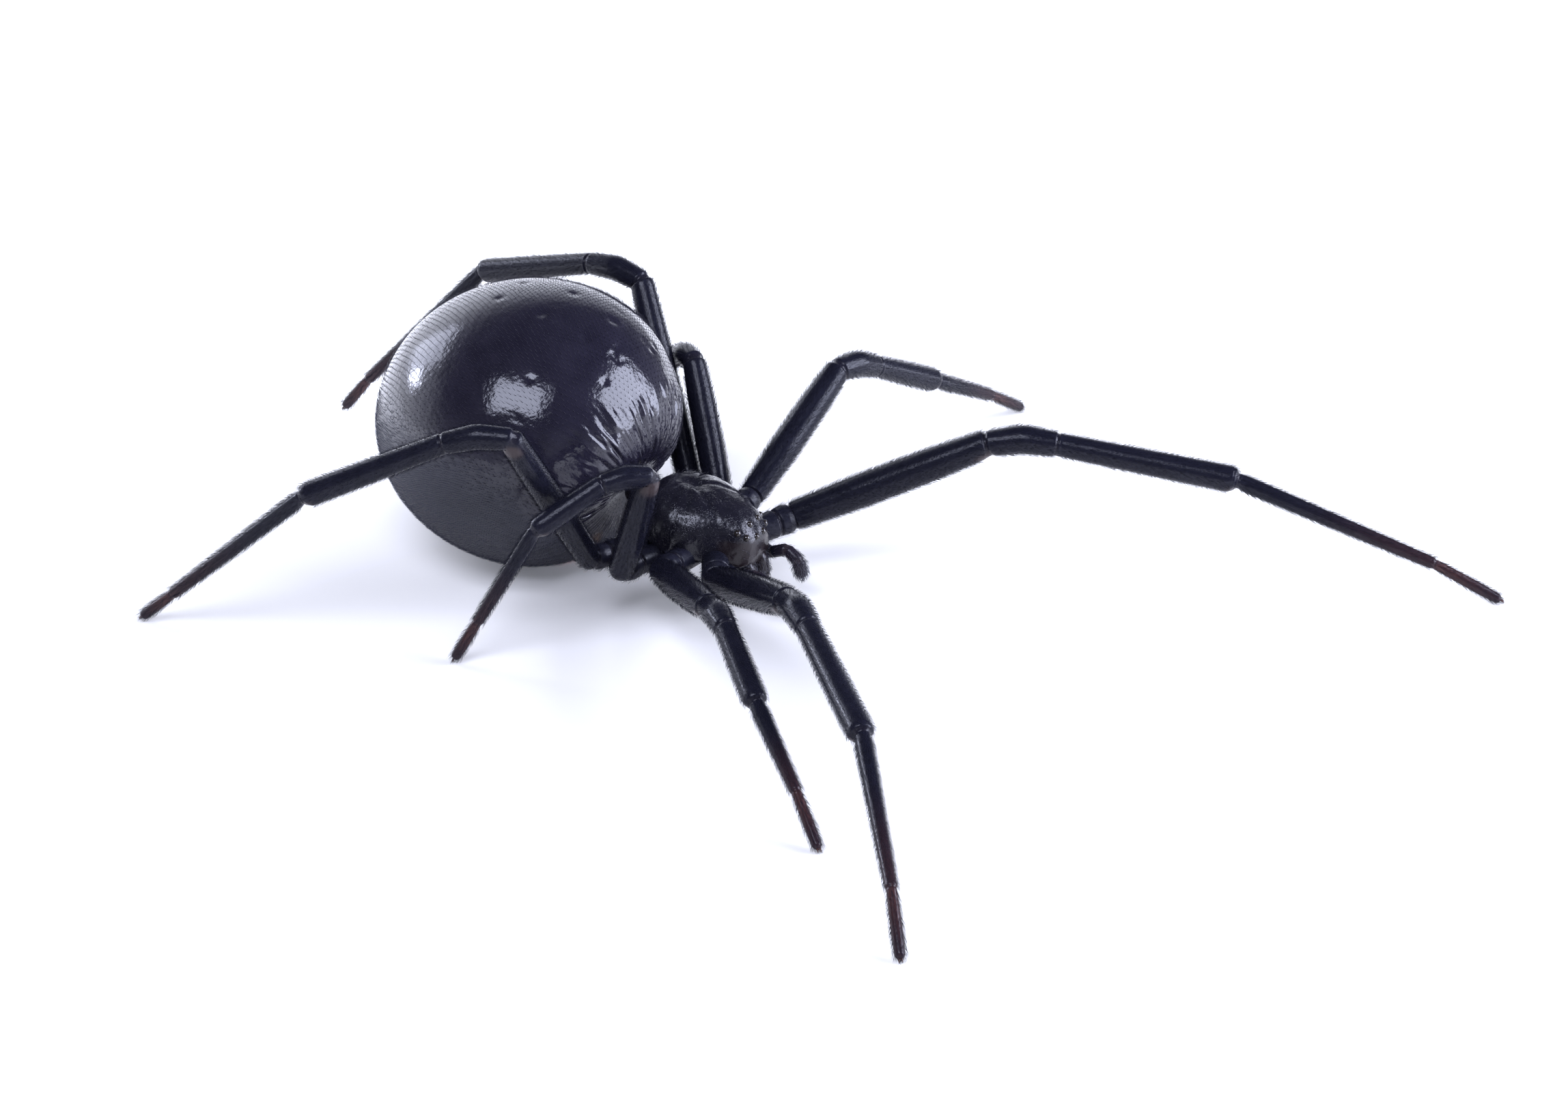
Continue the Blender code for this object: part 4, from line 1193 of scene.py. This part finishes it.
def make_leg(side, pair):
    """One leg with its short swept hairs and three tiny claws."""
    name = "leg_%s_%d" % (SIDES[side], pair + 1)
    surface = leg_surface(side, pair)
    nodes = [name + "_" + length for length in ("femur", "tibia", "tarsus")]
    surface.piece(name + "_skin", "leg_skin", "cuticle", nodes)
    marks = surface.length
    joints = surface.places
    all_over, from_thigh, outer = LEG_HAIRS
    beyond = step_between(joints["metatarsus"] - 0.3, joints["metatarsus"] + 0.3, marks) * np.ones(LEG_SIDES)
    clear = (1 - surface.marks["neck"]) * (1 - step_between(0.2, 0.5, surface.marks["membrane"]))
    thigh = step_between(joints["trochanter"], joints["femur"] + 0.2, marks)
    density = (from_thigh + outer * beyond) * clear * thigh + all_over * clear * (marks > HIP_BARE)
    seed = SEED + 10 * pair + side
    places = scatter(surface, density, seed)
    coat("coat_" + name, "leg", surface, places, surface.number_at(beyond, *places), seed)
    make_claws(name, surface)


def make_claws(name, surface):
    """Two curved claws and a smaller one between them at the end of a leg."""
    start = surface.points[-1].mean(axis=0)
    way = unit(start - surface.points[-12].mean(axis=0))
    across = unit(np.cross(way, (0, 0, 1.0)))
    above = np.cross(across, way)
    for number, (aside, length) in enumerate(CLAWS):
        base = start - way * 0.06 + across * aside
        bend = base + way * length * 0.6 + above * CLAW_CURVE[0]
        tip = base + way * length - above * CLAW_CURVE[1]
        for point in (base, bend, tip):
            point[2] = max(point[2], CLAW_LOWEST)
        claw = limb_surface((base, bend, tip), CLAW_RADII, sides=8, step=0.02, rounding=0.08)
        claw.piece("claw_%s_%d" % (name[4:], number + 1), "claw_brown", "feet")


def make_floor(bright_way, right):
    """Plain pale floor that glows a little, and more towards the bright side and the right."""
    bpy.ops.mesh.primitive_plane_add(size=FLOOR_METRES, location=(0, 0, 0))
    floor = bpy.context.object
    floor.name = "floor"
    look = Look("floor", FLOOR_COLOUR, FLOOR_ROUGHNESS, FLOOR_GLOSS)
    glow = [
        map_range(look.tree, along_node(look.tree, look.place, way * (1, 1, 0)), *reach, *strength)
        for way, reach, strength in (
            (bright_way, FLOOR_GLOW_REACH, FLOOR_GLOW),
            (right, FLOOR_RIGHT_REACH, FLOOR_GLOW_RIGHT),
        )
    ]
    look.set({"Emission Color": SURROUND_COLOUR, "Emission Strength": math_node(look.tree, "ADD", *glow)})
    floor.data.materials.append(MADE["floor"])


def camera_axes():
    """The camera's right, up and backward directions."""
    level = cos(CAMERA_RISE)
    back = np.array([sin(CAMERA_TURN) * level, -cos(CAMERA_TURN) * level, sin(CAMERA_RISE)])
    right = unit(np.cross((0, 0, 1.0), back))
    return right, np.cross(back, right), back


def face_along(item, place, back):
    """Put a camera or light at a place, with its back turned in a direction."""
    item.location = Vector(place * MM)
    item.rotation_mode = "QUATERNION"
    item.rotation_quaternion = Vector(-back).to_track_quat("-Z", "Y")


def make_camera():
    """Camera at the photo's place."""
    back = camera_axes()[2]
    data = bpy.data.cameras.new("camera")
    data.lens = LENS
    data.sensor_width = SENSOR
    data.clip_start, data.clip_end = CLIP_METRES
    camera = add_object("camera", data)
    face_along(camera, np.array(CAMERA_TARGET) + OFFSET + back * CAMERA_DISTANCE, back)
    bpy.context.scene.camera = camera


def make_lights():
    """Three window-like soft boxes and a small lamp; each one's power follows its brightness."""
    for name, parts, distance, width, height, brightness in LIGHTS:
        toward = unit(np.array(parts) @ np.array(camera_axes()))
        data = bpy.data.lights.new(name, "AREA")
        data.shape = "RECTANGLE"
        data.size = width * MM
        data.size_y = height * MM
        data.energy = brightness * pi * data.size * data.size_y
        data.color = WINDOW_COLOUR
        face_along(add_object(name, data), abdomen_middle() + toward * distance, toward)


def make_surround(bright_way):
    """Surround that is bright low down towards one side and darker elsewhere."""
    world = bpy.data.worlds.new("surround")
    bpy.context.scene.world = world
    world.use_nodes = True
    tree = world.node_tree
    place = add_node(tree, "TexCoord").outputs["Generated"]
    height = add_node(tree, "SeparateXYZ", {"Vector": place}).outputs["Z"]
    side = map_range(tree, along_node(tree, place, bright_way), *SURROUND_TURN)
    bright = map_range(tree, height, *BRIGHT_TOP, SURROUND_BRIGHT, SURROUND_DARK)
    dark = map_range(tree, height, *LOW_TOP, SURROUND_LOW, SURROUND_DARK)
    strength = mix_node(tree, side, dark, bright, "FLOAT")
    feed(tree, tree.nodes["Background"], {"Color": SURROUND_COLOUR, "Strength": strength})


def main():
    """The spider with its materials, and the floor, light and camera."""
    abdomen_skin()
    dark_cuticle()
    leg_skin()
    for name, look in SHINES.items():
        plain_shine(name, *look)
    for name, look in HAIRS.items():
        hair_material(name, *look)
    make_camera()
    make_abdomen()
    make_cephalothorax()
    make_waist()
    make_spinnerets()
    for side in (LEFT, RIGHT):
        make_jaw(side)
        make_palp(side)
        for pair in range(4):
            make_leg(side, pair)
    right, _, back = camera_axes()
    bright_way = BRIGHT_SIDE[0] * right + BRIGHT_SIDE[1] * back
    make_floor(bright_way, right)
    make_lights()
    make_surround(bright_way)
    bpy.context.scene.view_settings.view_transform = "Standard"


main()
